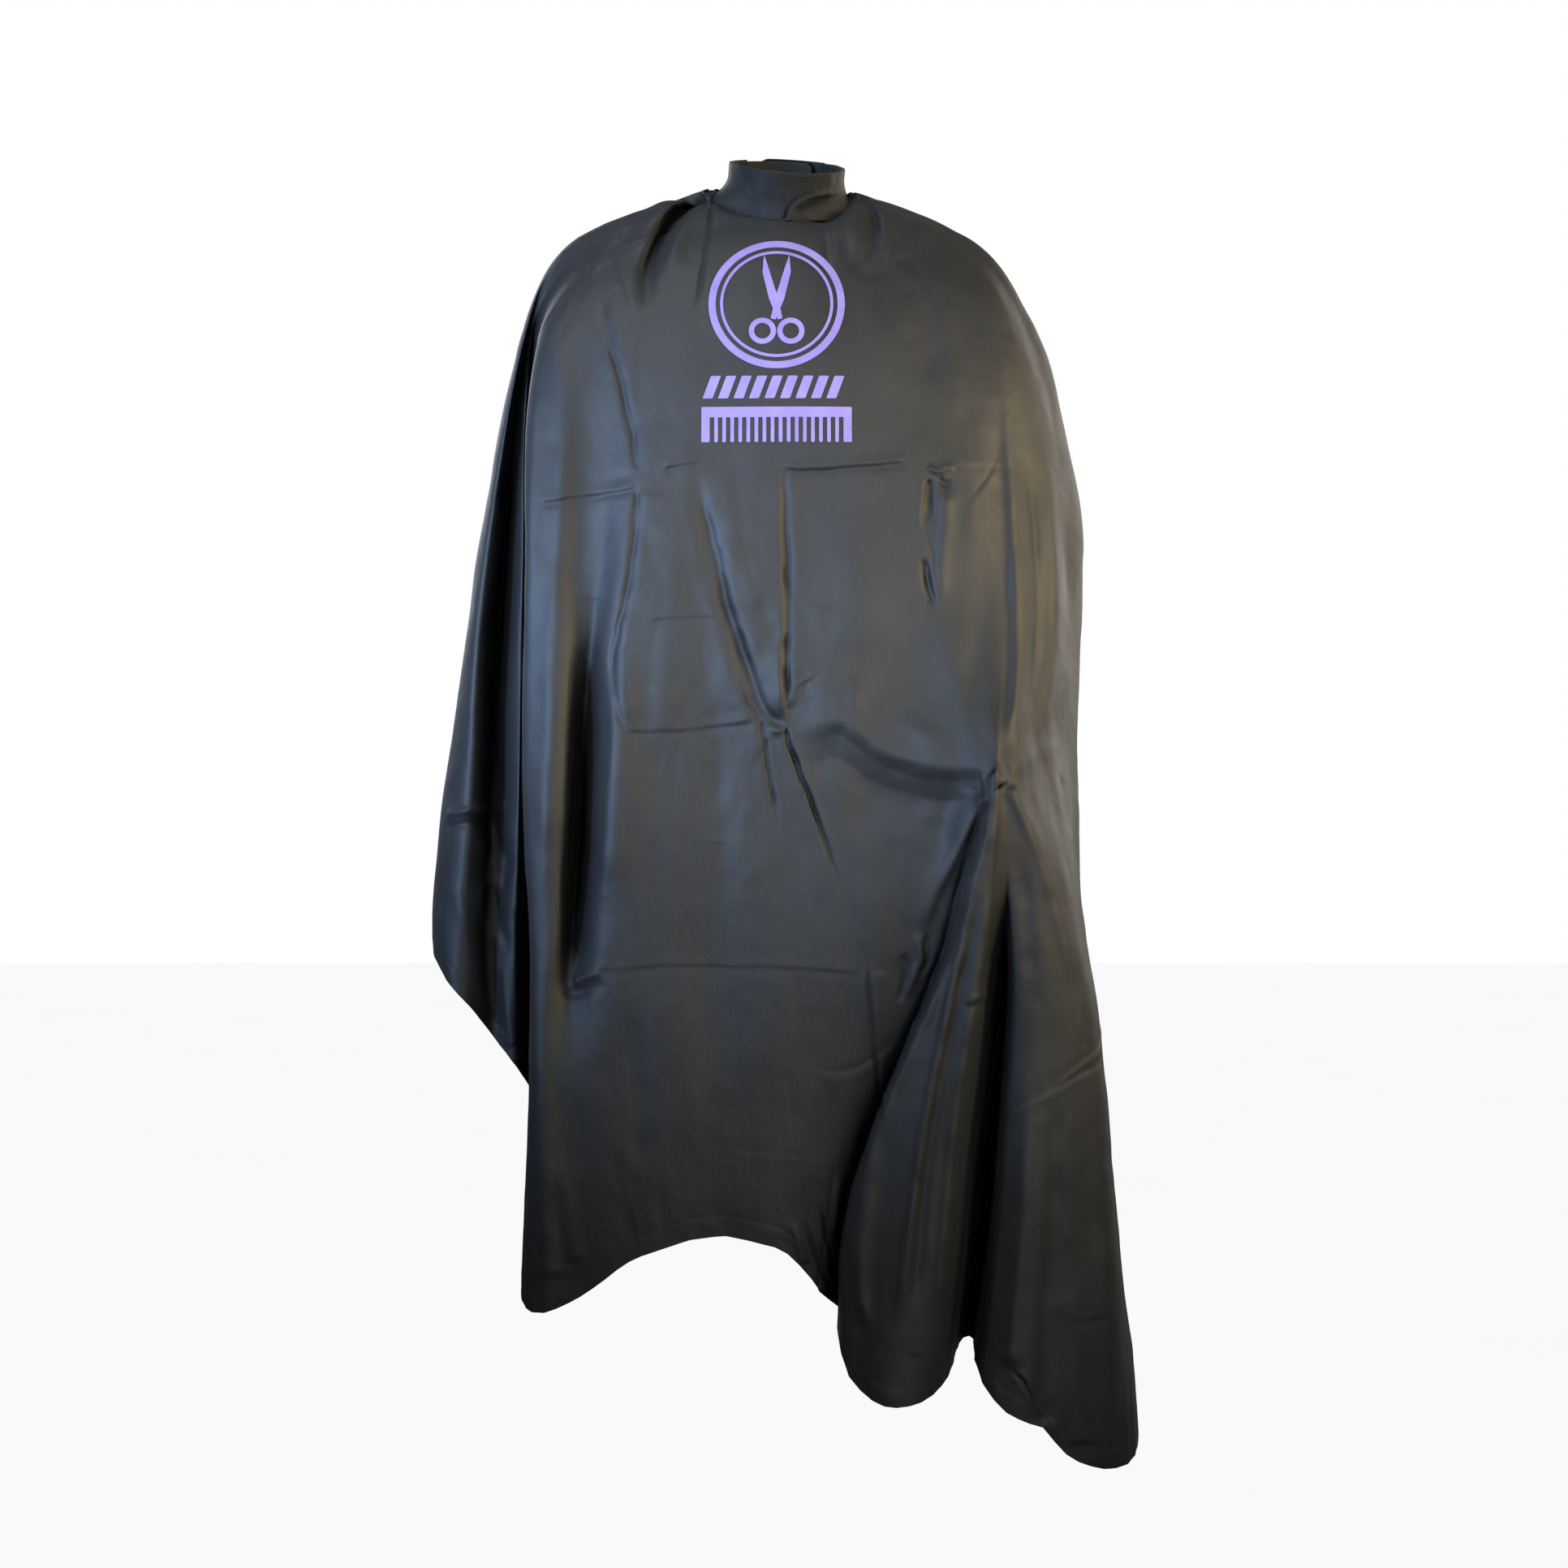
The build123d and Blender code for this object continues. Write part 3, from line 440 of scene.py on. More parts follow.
# ---------------------------------------------------------------------------
# the hem's outline on the front plane (across, down)
# ---------------------------------------------------------------------------
HEM_SIDE = """416 928, 427.2 941.6, 440 965.6, 452 980.8, 464 993.6, 476 1008, 488 1024,
    500 1039.2, 512 1056, 521.6 1068.8, 529.6 1080"""
HEM_FRONT = """512 1278.4, 514.4 1281.6, 518.4 1289.6, 524 1293.6, 536 1294.4, 548 1290.4,
    560 1284.8, 572 1278.4, 584 1270.4, 596 1261.6, 608 1252, 620 1244, 632 1238.4,
    656 1230.4, 680 1222.4, 704 1219.2, 716 1218.4, 740 1223.2, 764 1229.6, 776 1236,
    788 1247.2, 800 1260.8, 812 1277.6, 823.2 1294.4"""
HEM_CONE = """824.4 1312, 828.8 1334.4, 836 1356.8, 848 1371.2, 860 1380.8, 872 1386.4,
    884 1388, 896 1386.4, 908 1382.4, 920 1375.2, 928 1366.4, 934.4 1356.8, 940 1340.8,
    944.8 1324.8, 949.6 1318.4, 955.2 1316.8, 960 1320, 961.6 1340.8, 968 1363.2, 980 1380.8,
    992 1392.8, 1004 1399.2, 1016 1404, 1028 1407.2, 1040 1421.6, 1052 1434.4, 1064 1441.6,
    1076 1445.6, 1088 1448, 1100 1447.2, 1112 1443.2, 1119.2 1434.4, 1121.6 1420"""


def fit_hem(first, last, outline):
    """Runs the hem between two fall lines along the outline, keeping each line's place."""
    outline = table(outline)
    a, b = col_of[first], col_of[last]
    end = to_plane(cloth[a : b + 1, -1])
    length = running_length(outline)
    fine_length = np.linspace(0, length[-1], 1500)
    fine = along_line(fine_length, length, outline)
    fitted = names[names.index(first) : names.index(last) + 1]
    places, floor = [], 0.0
    for name in fitted:
        away = np.linalg.norm(fine - end[col_of[name] - a, :2], axis=1)
        away += np.where(fine_length < floor, 1e4, 0)       # never runs backwards
        floor = fine_length[int(away.argmin())]
        places.append(floor)
    place = np.interp(np.arange(a, b + 1), [col_of[name] for name in fitted], places)
    padded = np.concatenate([np.full(4, place[0]), place, np.full(4, place[-1])])
    place = np.convolve(padded, np.ones(9) / 9, "valid")
    target = along_line(place, fine_length, fine)
    shift = to_row(np.c_[target, end[:, 2]]) - cloth[a : b + 1, -1]
    weight = smooth((np.linspace(0, 1, ROWS) - 0.70) / 0.30) ** 1.3
    cloth[a : b + 1] += shift[:, None, :] * weight[None, :, None]


fit_hem("left edge", "left valley", HEM_SIDE)
fit_hem("panel edge", "front 7", HEM_FRONT)
fit_hem("cone edge", "right edge", HEM_CONE)

# ---------------------------------------------------------------------------
# folds and creases: raised or sunk lines drawn on the front plane
# ---------------------------------------------------------------------------
drawn_at = to_plane(cloth)[..., :2].reshape(-1, 2)
column_at = np.repeat(columns, ROWS)
front = (column_at >= col_of["left edge"]) & (column_at <= col_of["right edge"])
panel = (column_at >= col_of["panel edge"]) & (column_at <= col_of["right edge"])
left_side = (column_at >= col_of["left edge"]) & (column_at < col_of["left valley"])
lift = np.zeros(COLUMNS * ROWS)


def line_distance(line, points):
    """Signed distance to a line and 0..1 along it; positive is right of a line drawn down
    the plane, and above one drawn to the right."""
    length = running_length(line)
    best = np.full(len(points), 1e9)
    sign = np.ones(len(points))
    along = np.zeros(len(points))
    for i in range(len(line) - 1):
        span = length[i + 1] - length[i]
        way = (line[i + 1] - line[i]) / max(span, 1e-9)
        rel = points - line[i]
        t = np.clip(rel @ way, 0, span)
        away = np.linalg.norm(rel - t[:, None] * way, axis=1)
        cross = way[0] * rel[:, 1] - way[1] * rel[:, 0]
        hit = away < best
        best = np.where(hit, away, best)
        sign = np.where(hit, -np.sign(cross), sign)
        along = np.where(hit, (length[i] + t) / length[-1], along)
    return best * sign, along


def curve(text):
    points = table(text)
    return catmull(points, 8) if len(points) > 2 else points


def near_line(line, reach, where):
    """Indices of the cloth points within `reach` of the line's bounding box."""
    lo, hi = line.min(0) - reach, line.max(0) + reach
    return np.nonzero(where & ((drawn_at > lo) & (drawn_at < hi)).all(1))[0]


def wander(points, reach, cell, layer, next_layer, seeds):
    """Shifts points a little by noise, so that no line is quite clean."""
    return points + reach * np.stack([plane_noise(points, layer, cell, seeds[0]),
                                      plane_noise(points, next_layer, cell, seeds[1])], 1)


def along_and_ends(heights, t, fade):
    height = np.interp(t, np.linspace(0, 1, len(heights)), heights)
    return height, smooth(t / fade[0]) * smooth((1 - t) / fade[1])


def fold(line, heights, left, right, fade, where=panel, wobble=0.0, sharp=False):
    """A rounded (or sharp) fold: mm heights along the line, a width on each side of it,
    and the share of its length over which it fades at each end."""
    line = curve(line)
    near = near_line(line, 3.5 * max(left, right) + 4.8, where)
    points = drawn_at[near]
    if wobble:
        points = wander(points, wobble, 20.8, 0, 32, (5, 9))
    distance, t = line_distance(line, points)
    x = np.abs(distance) / np.where(distance > 0, right, left)
    shape = np.exp(-np.sqrt(x * x + 0.05) * 1.15) * 1.29 if sharp else np.exp(-x * x)
    height, ends = along_and_ends(heights, t, fade)
    height = height * (1 + 0.25 * plane_noise(points, line[0, 0], 35.2, 64))
    lift[near] += height * shape * ends


def press(line, profile, heights, fade=(0.1, 0.1), where=panel, uneven=0.45):
    """A pressed crease: profile is (signed distance, height) across the line, scaled by
    `heights` along it; `uneven` is how much noise varies it."""
    line, profile = curve(line), table(profile)
    across, height = profile.T
    fine = np.linspace(across[0] - 3.2, across[-1] + 3.2, 600)
    sigma = 1.04 / (fine[1] - fine[0])                  # softens the profile's corners
    kernel = np.exp(-0.5 * (np.arange(-int(3 * sigma), int(3 * sigma) + 1) / sigma) ** 2)
    soft = np.convolve(np.interp(fine, across, height), kernel / kernel.sum(), "same")
    near = near_line(line, max(-across[0], across[-1]) + 4.8, where)
    layer = line[0, 0]
    points = wander(drawn_at[near], 1.2, 19.2, layer, layer + 72, (61, 62))
    distance, t = line_distance(line, points)
    scale, ends = along_and_ends(heights, t, fade)
    scale = scale * (1 + uneven * plane_noise(points, layer, 27.2, 63))
    lift[near] += scale * np.interp(distance, fine, soft, left=0, right=0) * ends


# Columns of the calls below: line; heights; left and right width; fades (fold), or
# line; profile; heights along; fades (press).
# shoulders and neck
fold("692.8 190.4, 676 201.6, 658.4 216, 646.4 239.2, 637.6 268, 639.2 318.4",
     [-22, -24, -20, -12, -5, -2], 8, 8.8, (0.02, 0.25), front)
fold("676.8 193.6, 654.4 204.8, 633.6 227.2, 620.8 256",
     [3, 4.4, 3.4, 1.5], 7.2, 7.2, (0.1, 0.3), front)
fold("692.8 201.6, 676.8 220, 664 244, 657.6 272",
     [3, 4.6, 4.2, 2], 5.6, 9.6, (0.1, 0.3), front)
press("704 192, 701.6 210.4, 697.6 234.4, 692.8 264.8, 685.6 313.6",
      "-16 0, -5.6 1, -2 0.9, 0 -4.2, 2 0.4, 5.6 1.8, 14.4 0.8, 27.2 0",
      [0.8, 0.9, 1.15, 1.2, 0.6], (0.02, 0.25), front)
fold("616 228, 593.6 248, 577.6 276", [2.6, 3, 1.6], 8, 8, (0.2, 0.3), front)
fold("822.4 206.4, 838.4 219.2, 844.8 238.4, 835.2 256",
     [3.5, 4.6, 4.2, 2], 10.4, 12, (0.05, 0.2), front)
press("808.8 223.2, 814.4 234.4, 815.2 252.8, 821.6 268.8",
      "-17.6 0, -4.8 0.3, 0 -1.4, 3.2 1.6, 9.6 2.4, 20.8 0", [0.8, 1.2, 1.2, 0.7], (0.05, 0.2))
fold("844.8 192.8, 858.4 204.8, 864 222.4, 862.4 240, 849.6 259.2, 827.2 269.6",
     [-6, -8, -7.5, -6, -4, -2], 8, 9.6, (0.05, 0.2), front)
fold("854.4 196.8, 876.8 209.6, 912 223.2, 948 240",
     [2.4, 3.4, 2.8, 1.2], 7.2, 8.8, (0.08, 0.3), front)
fold("868.8 250.4, 886.4 242.4, 907.2 232, 928 225.6",
     [1.6, 2.4, 2, 1], 6.4, 9.6, (0.15, 0.3), front)
fold("841.6 273.6, 868 268.8, 889.6 257.6, 916.8 249.6",
     [-3, -4, -3, -1.2], 7.2, 5.6, (0.15, 0.3), front)
fold("752 236.8, 744 272, 732 320, 724 376", [0.8, 1.2, 1, 0.6], 12.8, 12.8, (0.1, 0.3))
fold("880 268, 904 296, 916 336, 920 400", [-1.8, -2.6, -2.2, -1.2], 14.4, 16, (0.2, 0.3))
fold("944 256, 972 304, 988 360, 994.4 432", [2, 3, 2.6, 1.5], 12.8, 16, (0.2, 0.3))
fold("848 280, 860 336, 868 400", [1.2, 2, 1.2], 16, 16, (0.3, 0.3))

# left part of the front panel
fold("534.4 304, 552 384, 552 480, 547.2 608, 540.8 760, 533.6 920",
     [1.5, 3, 4, 5, 5.5, 3], 12, 12.8, (0.1, 0.2))
press("588 281.6, 601.6 336, 614.4 388.8, 624 432, 628 465.6",
      "-27.2 0, -9.6 1, -4.8 0.6, 0 -2.6, 3.2 0.2, 8.8 1.2, 19.2 0.8, 36.8 0",
      [0.5, 0.8, 0.9, 0.8, 0.7], (0.3, 0.04))
press("628 480, 626.4 520, 620 572, 610.4 616, 604.8 656, 608 694.4, 618.4 721.6",
      "-27.2 0, -9.6 1, -4.8 0.6, 0 -2.8, 3.2 0.2, 8 1.6, 17.6 1.2, 35.2 0",
      [0.7, 0.8, 0.8, 0.85, 1, 1, 0.7], (0.04, 0.08))
fold("592 544, 585.6 608, 578.4 680, 572.8 760, 569.6 840, 564.8 904, 562.4 948",
     [-0.5, -1.5, -5, -9, -10, -9, -4], 6.4, 9.6, (0.15, 0.05))
fold("608 632, 606.4 704, 603.2 768, 597.6 840, 592 904",
     [1.5, 3.5, 4.4, 4.2, 2], 7.2, 17.6, (0.2, 0.25))
fold("563.2 969.6, 577.6 963.2, 596.8 956.8", [2.2, 3, 1.4], 4, 6.4, (0.2, 0.3))
fold("552 980, 576 977.6, 600 966.4", [-1.5, -2.5, -1], 5.6, 5.6, (0.2, 0.3))
fold("649.6 512, 654.4 592, 656 672, 652.8 768", [1.2, 2.4, 2.8, 1.2], 17.6, 19.2, (0.3, 0.3))
fold("680 512, 689.6 592, 697.6 664, 707.2 736, 710.4 840, 708.8 960",
     [-0.6, -1.6, -2.4, -3.2, -3.2, -2], 14.4, 14.4, (0.2, 0.3))
fold("744 784, 747.2 864, 744 960, 742.4 1056", [1, 2, 2, 1], 19.2, 20.8, (0.3, 0.3))
fold("620 984, 625.6 1064, 632 1160", [-1.4, -2, -1.6], 9.6, 11.2, (0.3, 0.2))
fold("552 1136, 560 1200, 569.6 1248", [1.2, 2, 2], 9.6, 9.6, (0.3, 0.1))
fold("531.2 1000, 534.4 1104, 537.6 1200, 544 1264", [1.8, 3, 3.4, 3], 9.6, 12.8, (0.2, 0.05))

# long slanting crease across the chest, the upright one beside it and what they meet
press("686.4 460, 692.8 489.6, 704.8 539.2, 717.6 595.2, 730.4 636, 745.6 677.6, 756 702.4,"
      "772.8 715.2",
      "-64 0, -35.2 1.2, -19.2 1.6, -12 0.2, -5.6 -2.6, 0 -4, 3.2 -0.8, 6.4 1.8, 12.8 3,"
      "24 3.6, 41.6 2.2, 67.2 0", [0.5, 0.7, 0.85, 0.95, 1, 1.05, 1, 0.75], (0.2, 0.04))
press("726.4 667.2, 736 691.2, 748.8 708.8",
      "-8 0, -2.4 0.6, 0 -2.2, 2.4 0.6, 7.2 0", [0.7, 1.1, 0.9], (0.2, 0.1))
press("772.8 462.4, 773.6 512, 775.2 560, 776 616, 774.4 664, 777.6 707.2",
      "-24 0, -8 0.9, -4 1.2, -1.2 -2.6, 2 -2.8, 4.8 -0.5, 11.2 0.1, 24 0",
      [0.7, 1.2, 1.1, 1.2, 1.4, 1.2], (0.03, 0.04))
press("776 714.4, 800 718.4, 827.2 712, 849.6 724.8, 880 744, 920 756, 952 756.8,"
      "977.6 759.2",
      "-51.2 0, -32 -1.2, -12.8 0.6, -3.2 2.8, 1.6 3.4, 8 3.2, 20.8 2.4, 44.8 0.8, 64 0",
      [0.7, 1.2, 1.4, 1.5, 1.5, 1.5, 1.4, 1], (0.22, 0.08), uneven=0.12)
fold("812.8 788, 880 795.2, 956.8 804.8", [-3.5, -6.5, -6], 70.4, 32, (0.35, 0.2))
fold("842.4 660.8, 843.2 684.8, 841.6 707.2", [0.8, 1.8, 1], 6.4, 7.2, (0.35, 0.3))
press("750.4 710.4, 754.4 740, 760.8 780, 768.8 827.2",
      "-9.6 0, -3.2 0.5, 0 -3.4, 3.2 0.9, 9.6 0", [1, 1.3, 1.2, 0.6], (0.05, 0.3))
press("772.8 716.8, 779.2 736, 788.8 764, 800 792, 816 840, 835.2 894.4",
      "-11.2 0, -3.2 0.6, 0 -3.4, 3.2 1, 11.2 0", [1.1, 1.4, 1.3, 1.2, 1, 0.5], (0.04, 0.3))
fold("756.8 713.6, 766.4 720, 774.4 716.8", [1.4, 2.2, 1.4], 4, 4, (0.2, 0.2))
fold("832 512, 848 592, 852.8 656", [1.5, 3.2, 2.2], 35.2, 38.4, (0.3, 0.3))

# leaf-shaped pucker on the right of the chest, and the long folds beside it
press("912 473.6, 908.8 496, 907.2 515.2, 913.6 536, 918.4 560, 924.8 600",
      "-12.8 0, -4.8 0.2, -0.8 1.2, 2.4 -1.2, 6.4 -0.6, 14.4 0",
      [1, 1.2, 1.2, 1.2, 1.1, 0.6], (0.06, 0.2))
fold("916.8 472, 916 494.4, 916 516.8", [-2.6, -3.2, -1.6], 4, 3.2, (0.1, 0.25))
fold("931.2 480, 931.2 520, 926.4 560, 928.8 601.6", [2.4, 3, 3.2, 1.6], 6.4, 8.8, (0.12, 0.2))
fold("912 548.8, 914.4 574.4, 921.6 598.4", [-2.4, -3.6, -1.8], 4.8, 4, (0.2, 0.2))
fold("913.6 458.4, 922.4 464, 932.8 460.8, 940.8 465.6",
     [2.2, 3, 2.4, 1.2], 3.2, 4, (0.1, 0.2), wobble=1.6)
fold("924.8 472, 931.2 477.6, 939.2 475.2", [-2, -2.8, -1.6], 3.2, 3.2, (0.1, 0.2), wobble=1.6)
fold("960 512, 964 592, 964.8 664, 969.6 720", [-1.5, -3, -3.4, -2.4], 14.4, 14.4, (0.3, 0.15))
fold("988.8 384, 996.8 480, 1001.6 576, 1001.6 672, 992 740",
     [2.2, 4.2, 5, 5.2, 3.6], 6.4, 10.4, (0.2, 0.12))
fold("1012.8 448, 1020 528, 1020.8 624, 1011.2 712",
     [-1.8, -3.4, -3.6, -2.4], 4, 5.6, (0.2, 0.2))
fold("1027.2 416, 1037.6 512, 1040.8 608, 1033.6 688, 1017.6 744",
     [1.8, 3.8, 4.4, 4, 2], 6.4, 7.2, (0.2, 0.15))
fold("1049.6 512, 1052.8 592, 1049.6 672", [-1.2, -2.2, -1.6], 4, 4.8, (0.25, 0.25))

# gathered point at the right, and the folds that run from it
fold("876.8 712, 904 720, 928 736", [1, 2.2, 1], 9.6, 11.2, (0.3, 0.3))
fold("956.8 699.2, 971.2 729.6, 982.4 755.2", [-0.5, -1.2, -0.8], 7.2, 7.2, (0.3, 0.1))
fold("1043.2 726.4, 1027.2 740.8, 1009.6 752, 992 760",
     [0.6, 1.6, 2.2, 1.8], 14.4, 9.6, (0.3, 0.1))
fold("977.6 760, 984 766.4, 988.8 774.4", [1.8, 2.6, 2], 8, 8, (0.1, 0.1))
fold("995.2 772.8, 1013.6 812.8, 1031.2 862.4, 1048 922.4, 1060 980",
     [3, 4.2, 4.2, 3.6, 2.4], 7.2, 8, (0.04, 0.25))
fold("1044.8 761.6, 1050.4 792, 1056 827.2", [-1.4, -2.2, -1.2], 2.8, 2.8, (0.2, 0.25))
fold("1000 824, 1009.6 880, 1014.4 944, 1016 1008",
     [-1.4, -3.2, -3.4, -2], 10.4, 11.2, (0.25, 0.3))
# the slope left of the cone, and the crease that parts them
fold("968 780.8, 956.8 809.6, 942.4 841.6, 920 888, 904 934.4",
     [3, 4.2, 4.2, 3.4, 1.6], 12.8, 4.8, (0.05, 0.3))
press("972.8 784, 966.4 804.8, 956.8 833.6, 942.4 887.2, 929.6 936.8, 915.2 974.4,"
      "886.4 1043.2, 857.6 1115.2, 837.6 1174.4",
      "-7.2 0, -2.8 -0.6, 0 -2.8, 2 0.5, 4.8 2.8, 8.8 3.2, 16 1.2, 25.6 0",
      [0.8, 1.1, 1.2, 1.2, 1.2, 1.1, 1.1, 1, 0.8], (0.03, 0.1))
fold("981.6 798.4, 970.4 833.6, 956.8 887.2, 945.6 940, 928 1024, 911.2 1112, 896 1216,"
     "884 1312", [3, 4, 4.4, 4.4, 4.2, 4, 3.6, 3], 5.6, 7.2, (0.06, 0.1))
fold("966.4 880, 952 944, 937.6 1016, 921.6 1096, 908.8 1192, 901.6 1296",
     [-1.6, -2.8, -3.4, -3.4, -3.2, -2.6], 5.6, 6.4, (0.15, 0.1))
fold("979.2 864, 968 936, 954.4 1016, 941.6 1108, 932.8 1200, 924 1312",
     [2, 3.4, 4.2, 4.6, 4.4, 3.4], 6.4, 6.4, (0.12, 0.1))
fold("860.8 1120, 851.2 1184, 848 1248, 852.8 1312", [1.6, 3, 3, 2], 8, 9.6, (0.2, 0.15))
fold("840 1200, 843.2 1248, 849.6 1288, 862.4 1320", [0.8, 1.2, 1.2, 0.8], 6.4, 6.4, (0.2, 0.2))
# the panel beside the cone
press("854.4 956, 858.4 1000, 864 1056, 869.6 1112",
      "-11.2 0, -2.4 0.7, 0 -2.6, 2.4 0.8, 9.6 0.8, 20.8 0", [1, 1.1, 1, 0.7], (0.05, 0.15))
fold("902.4 916.8, 907.2 940.8, 897.6 969.6, 889.6 987.2",
     [2.2, 3.2, 2.6, 1], 4, 4.8, (0.2, 0.2), wobble=1.6)
fold("889.6 937.6, 894.4 960, 884.8 988.8", [-1.8, -2.8, -1.6], 4, 4, (0.2, 0.2), wobble=1.6)
fold("912 920, 913.6 942.4, 904 964.8", [-1.6, -2.4, -1.4], 3.2, 3.2, (0.2, 0.2), wobble=1.6)
fold("950.4 988.8, 964 982.4, 976 980.8", [0.8, 1.6, 0.8], 4, 4, (0.15, 0.2), wobble=1.6)
fold("948.8 994.4, 964.8 989.6, 976 987.2", [-0.6, -1.2, -0.6], 3.2, 3.2, (0.15, 0.2),
     wobble=1.6)
press("790.4 1198.4, 800 1224, 809.6 1249.6, 819.2 1276.8",
      "-6.4 0, -2.4 0.6, 0 -2.2, 3.2 1, 7.2 0", [0.6, 1, 1.1, 1], (0.3, 0.02))
press("804.8 1176, 812.8 1208, 819.2 1240, 823.2 1272",
      "-6.4 0, -2.4 0.6, 0 -2.4, 3.2 1, 7.2 0", [0.5, 1, 1.1, 1], (0.3, 0.02))
fold("828.8 1152, 825.6 1200, 824 1256", [1.4, 2.6, 2], 4.8, 5.6, (0.2, 0.1))
fold("779.2 1200, 787.2 1224, 793.6 1244.8", [1, 2, 1.6], 4.8, 5.6, (0.3, 0.02))
# the cone at the far right
fold("1048 904, 1062.4 960, 1076.8 1056, 1088 1160, 1096 1296, 1100.8 1408",
     [1, 2.4, 3, 3, 2.8, 2.2], 10.4, 10.4, (0.2, 0.05))
fold("1028.8 960, 1036.8 1040, 1040 1120, 1038.4 1200, 1032 1312, 1028.8 1405.6",
     [-1, -2.2, -3, -3.6, -3.6, -3], 9.6, 10.4, (0.2, 0.02))
fold("1009.6 1024, 1011.2 1120, 1004.8 1232, 993.6 1352",
     [1.2, 2.8, 3.4, 3.2], 8.8, 8.8, (0.2, 0.05))
press("996.8 1350.4, 1009.6 1364.8, 1020.8 1390.4, 1028.8 1404.8",
      "-7.2 0, -2.4 0.8, 0 -2.2, 3.2 1, 8 0", [0.8, 1.1, 1.1, 1], (0.2, 0.02))
fold("1052.8 1248, 1060.8 1328, 1065.6 1424", [1.2, 2.4, 2.6], 9.6, 10.4, (0.3, 0.02))
fold("1075.2 1000, 1089.6 1120, 1099.2 1248", [-0.8, -1.6, -1.2], 5.6, 6.4, (0.2, 0.3))

# packing creases, where the folded cape was pressed: line and strength
for line, strength in [
    ("528 494.4, 560 491.2, 588 487.2, 616 482.4, 630.4 479.2", 1.6),
    ("654.4 461.6, 673.6 456.8, 689.6 456", 1.9),
    ("768.8 456, 779.2 462.4, 816.8 460.8, 864.8 457.6, 896 455.2", 2.6),
    ("940.8 457.6, 984 459.2, 1040 462.4", 0.4),
    ("640 610.4, 680 608, 722.4 605.6", 0.8),
    ("788 614.4, 832 616, 880 614.4", 0.3),
    ("612 721.6, 664 719.2, 720 714.4, 748 708.8", 0.9),
    ("531.2 958.4, 592 956, 656 952, 752 952.8, 800 955.2, 854.4 960", 0.6),
    ("664 828.8, 720 832", 0.25),
    ("856 1152, 800 1144, 720 1134.4", 0.2),
    ("896 1334.4, 928 1337.6", 0.6),
    ("1052.8 1301.6, 1097.6 1297.6", 0.6),
    ("560 588, 601.6 590.4", 0.5),
]:
    press(line, "-9.6 0, -4 -0.4, -1.6 -0.75, 0.8 0.6, 4 0.35, 11.2 0",
          [strength, strength * 0.8, strength])

# the hanging left side
fold("484.8 480, 490.4 512, 488.8 552, 482.4 608",
     [1.5, 3.4, 3, 1.4], 4.8, 5.6, (0.2, 0.3), left_side)
fold("504 448, 496 528, 491.2 624, 487.2 720",
     [-1.5, -4, -5, -3], 6.4, 6.4, (0.2, 0.2), left_side)
fold("438.4 803.2, 460 800, 483.2 796.8, 502.4 792",
     [2.4, 3.4, 3, 1.5], 4.8, 4.8, (0.1, 0.2), left_side, wobble=2.4, sharp=True)
fold("440 814.4, 464 812, 484.8 809.6",
     [-2.2, -3, -1.5], 4.8, 4.8, (0.1, 0.2), left_side, wobble=2.4, sharp=True)
fold("464 816, 480 848, 473.6 888, 480 936",
     [2, 4.4, 4, 2], 8, 8, (0.2, 0.2), left_side, wobble=3.2)
fold("489.6 800, 497.6 848, 492.8 896, 502.4 952",
     [-2.2, -4, -3.6, -2], 6.4, 6.4, (0.2, 0.2), left_side, wobble=3.2)
fold("448 864, 460.8 912, 468.8 960, 480 1000",
     [1.5, 3, 3, 2.4], 7.2, 7.2, (0.2, 0.05), left_side)
fold("494.4 944, 497.6 984, 505.6 1032", [2, 3, 2.2], 5.6, 5.6, (0.2, 0.05), left_side)

# ---------------------------------------------------------------------------
# soft crumple, stronger at the back and calm on the badge
# ---------------------------------------------------------------------------
badge = front * np.exp(-(((drawn_at[:, 0] - 765.6) / 104) ** 4)
                       - ((drawn_at[:, 1] - 332) / 136) ** 4)


def random_strokes():
    """Short random creases, as cloth that has been folded and shaken out keeps."""
    rng = np.random.default_rng(7)
    around = np.cumsum(np.linalg.norm(np.diff(cloth, axis=0, prepend=cloth[:1]), axis=-1), 0)
    down = np.cumsum(np.linalg.norm(np.diff(cloth, axis=1, prepend=cloth[:, :1]), axis=-1), 1)
    around = (around - around[col_of["front 6"]][None]).reshape(-1)
    down = down.reshape(-1)
    height = np.zeros(COLUMNS * ROWS)
    for _ in range(STROKES):
        mid_around = rng.uniform(around.min() * 0.9, around.max() * 0.9)
        mid_down = rng.uniform(90, 1180)
        length = rng.uniform(22, 95)
        kind = rng.random()
        if kind < 0.62:                                 # mostly upright
            angle = rng.normal(90, 16)
        elif kind < 0.8:                                # some level
            angle = rng.normal(0, 14)
        else:
            angle = rng.uniform(0, 180)
        width = rng.uniform(2.6, 5.5)
        rise = rng.normal(0, 0.40) * (0.5 + length / 95)
        bow = rng.normal(0, 0.10) * length
        cosine, sine = math.cos(math.radians(angle)), math.sin(math.radians(angle))
        reach = length * 0.5 + 12
        near = np.nonzero((np.abs(around - mid_around) < reach)
                          & (np.abs(down - mid_down) < reach))[0]
        x, y = around[near] - mid_around, down[near] - mid_down
        t = (x * cosine + y * sine) / (length * 0.5)
        off = -x * sine + y * cosine - bow * (1 - t * t)
        ridge = np.exp(-np.sqrt((off / width) ** 2 + 0.06))
        trough = np.exp(-(((off - width * 1.8) / (width * 1.9)) ** 2))
        height[near] += rise * np.clip(1 - t * t, 0, 1) ** 1.2 * (ridge - 0.45 * trough)
    return height


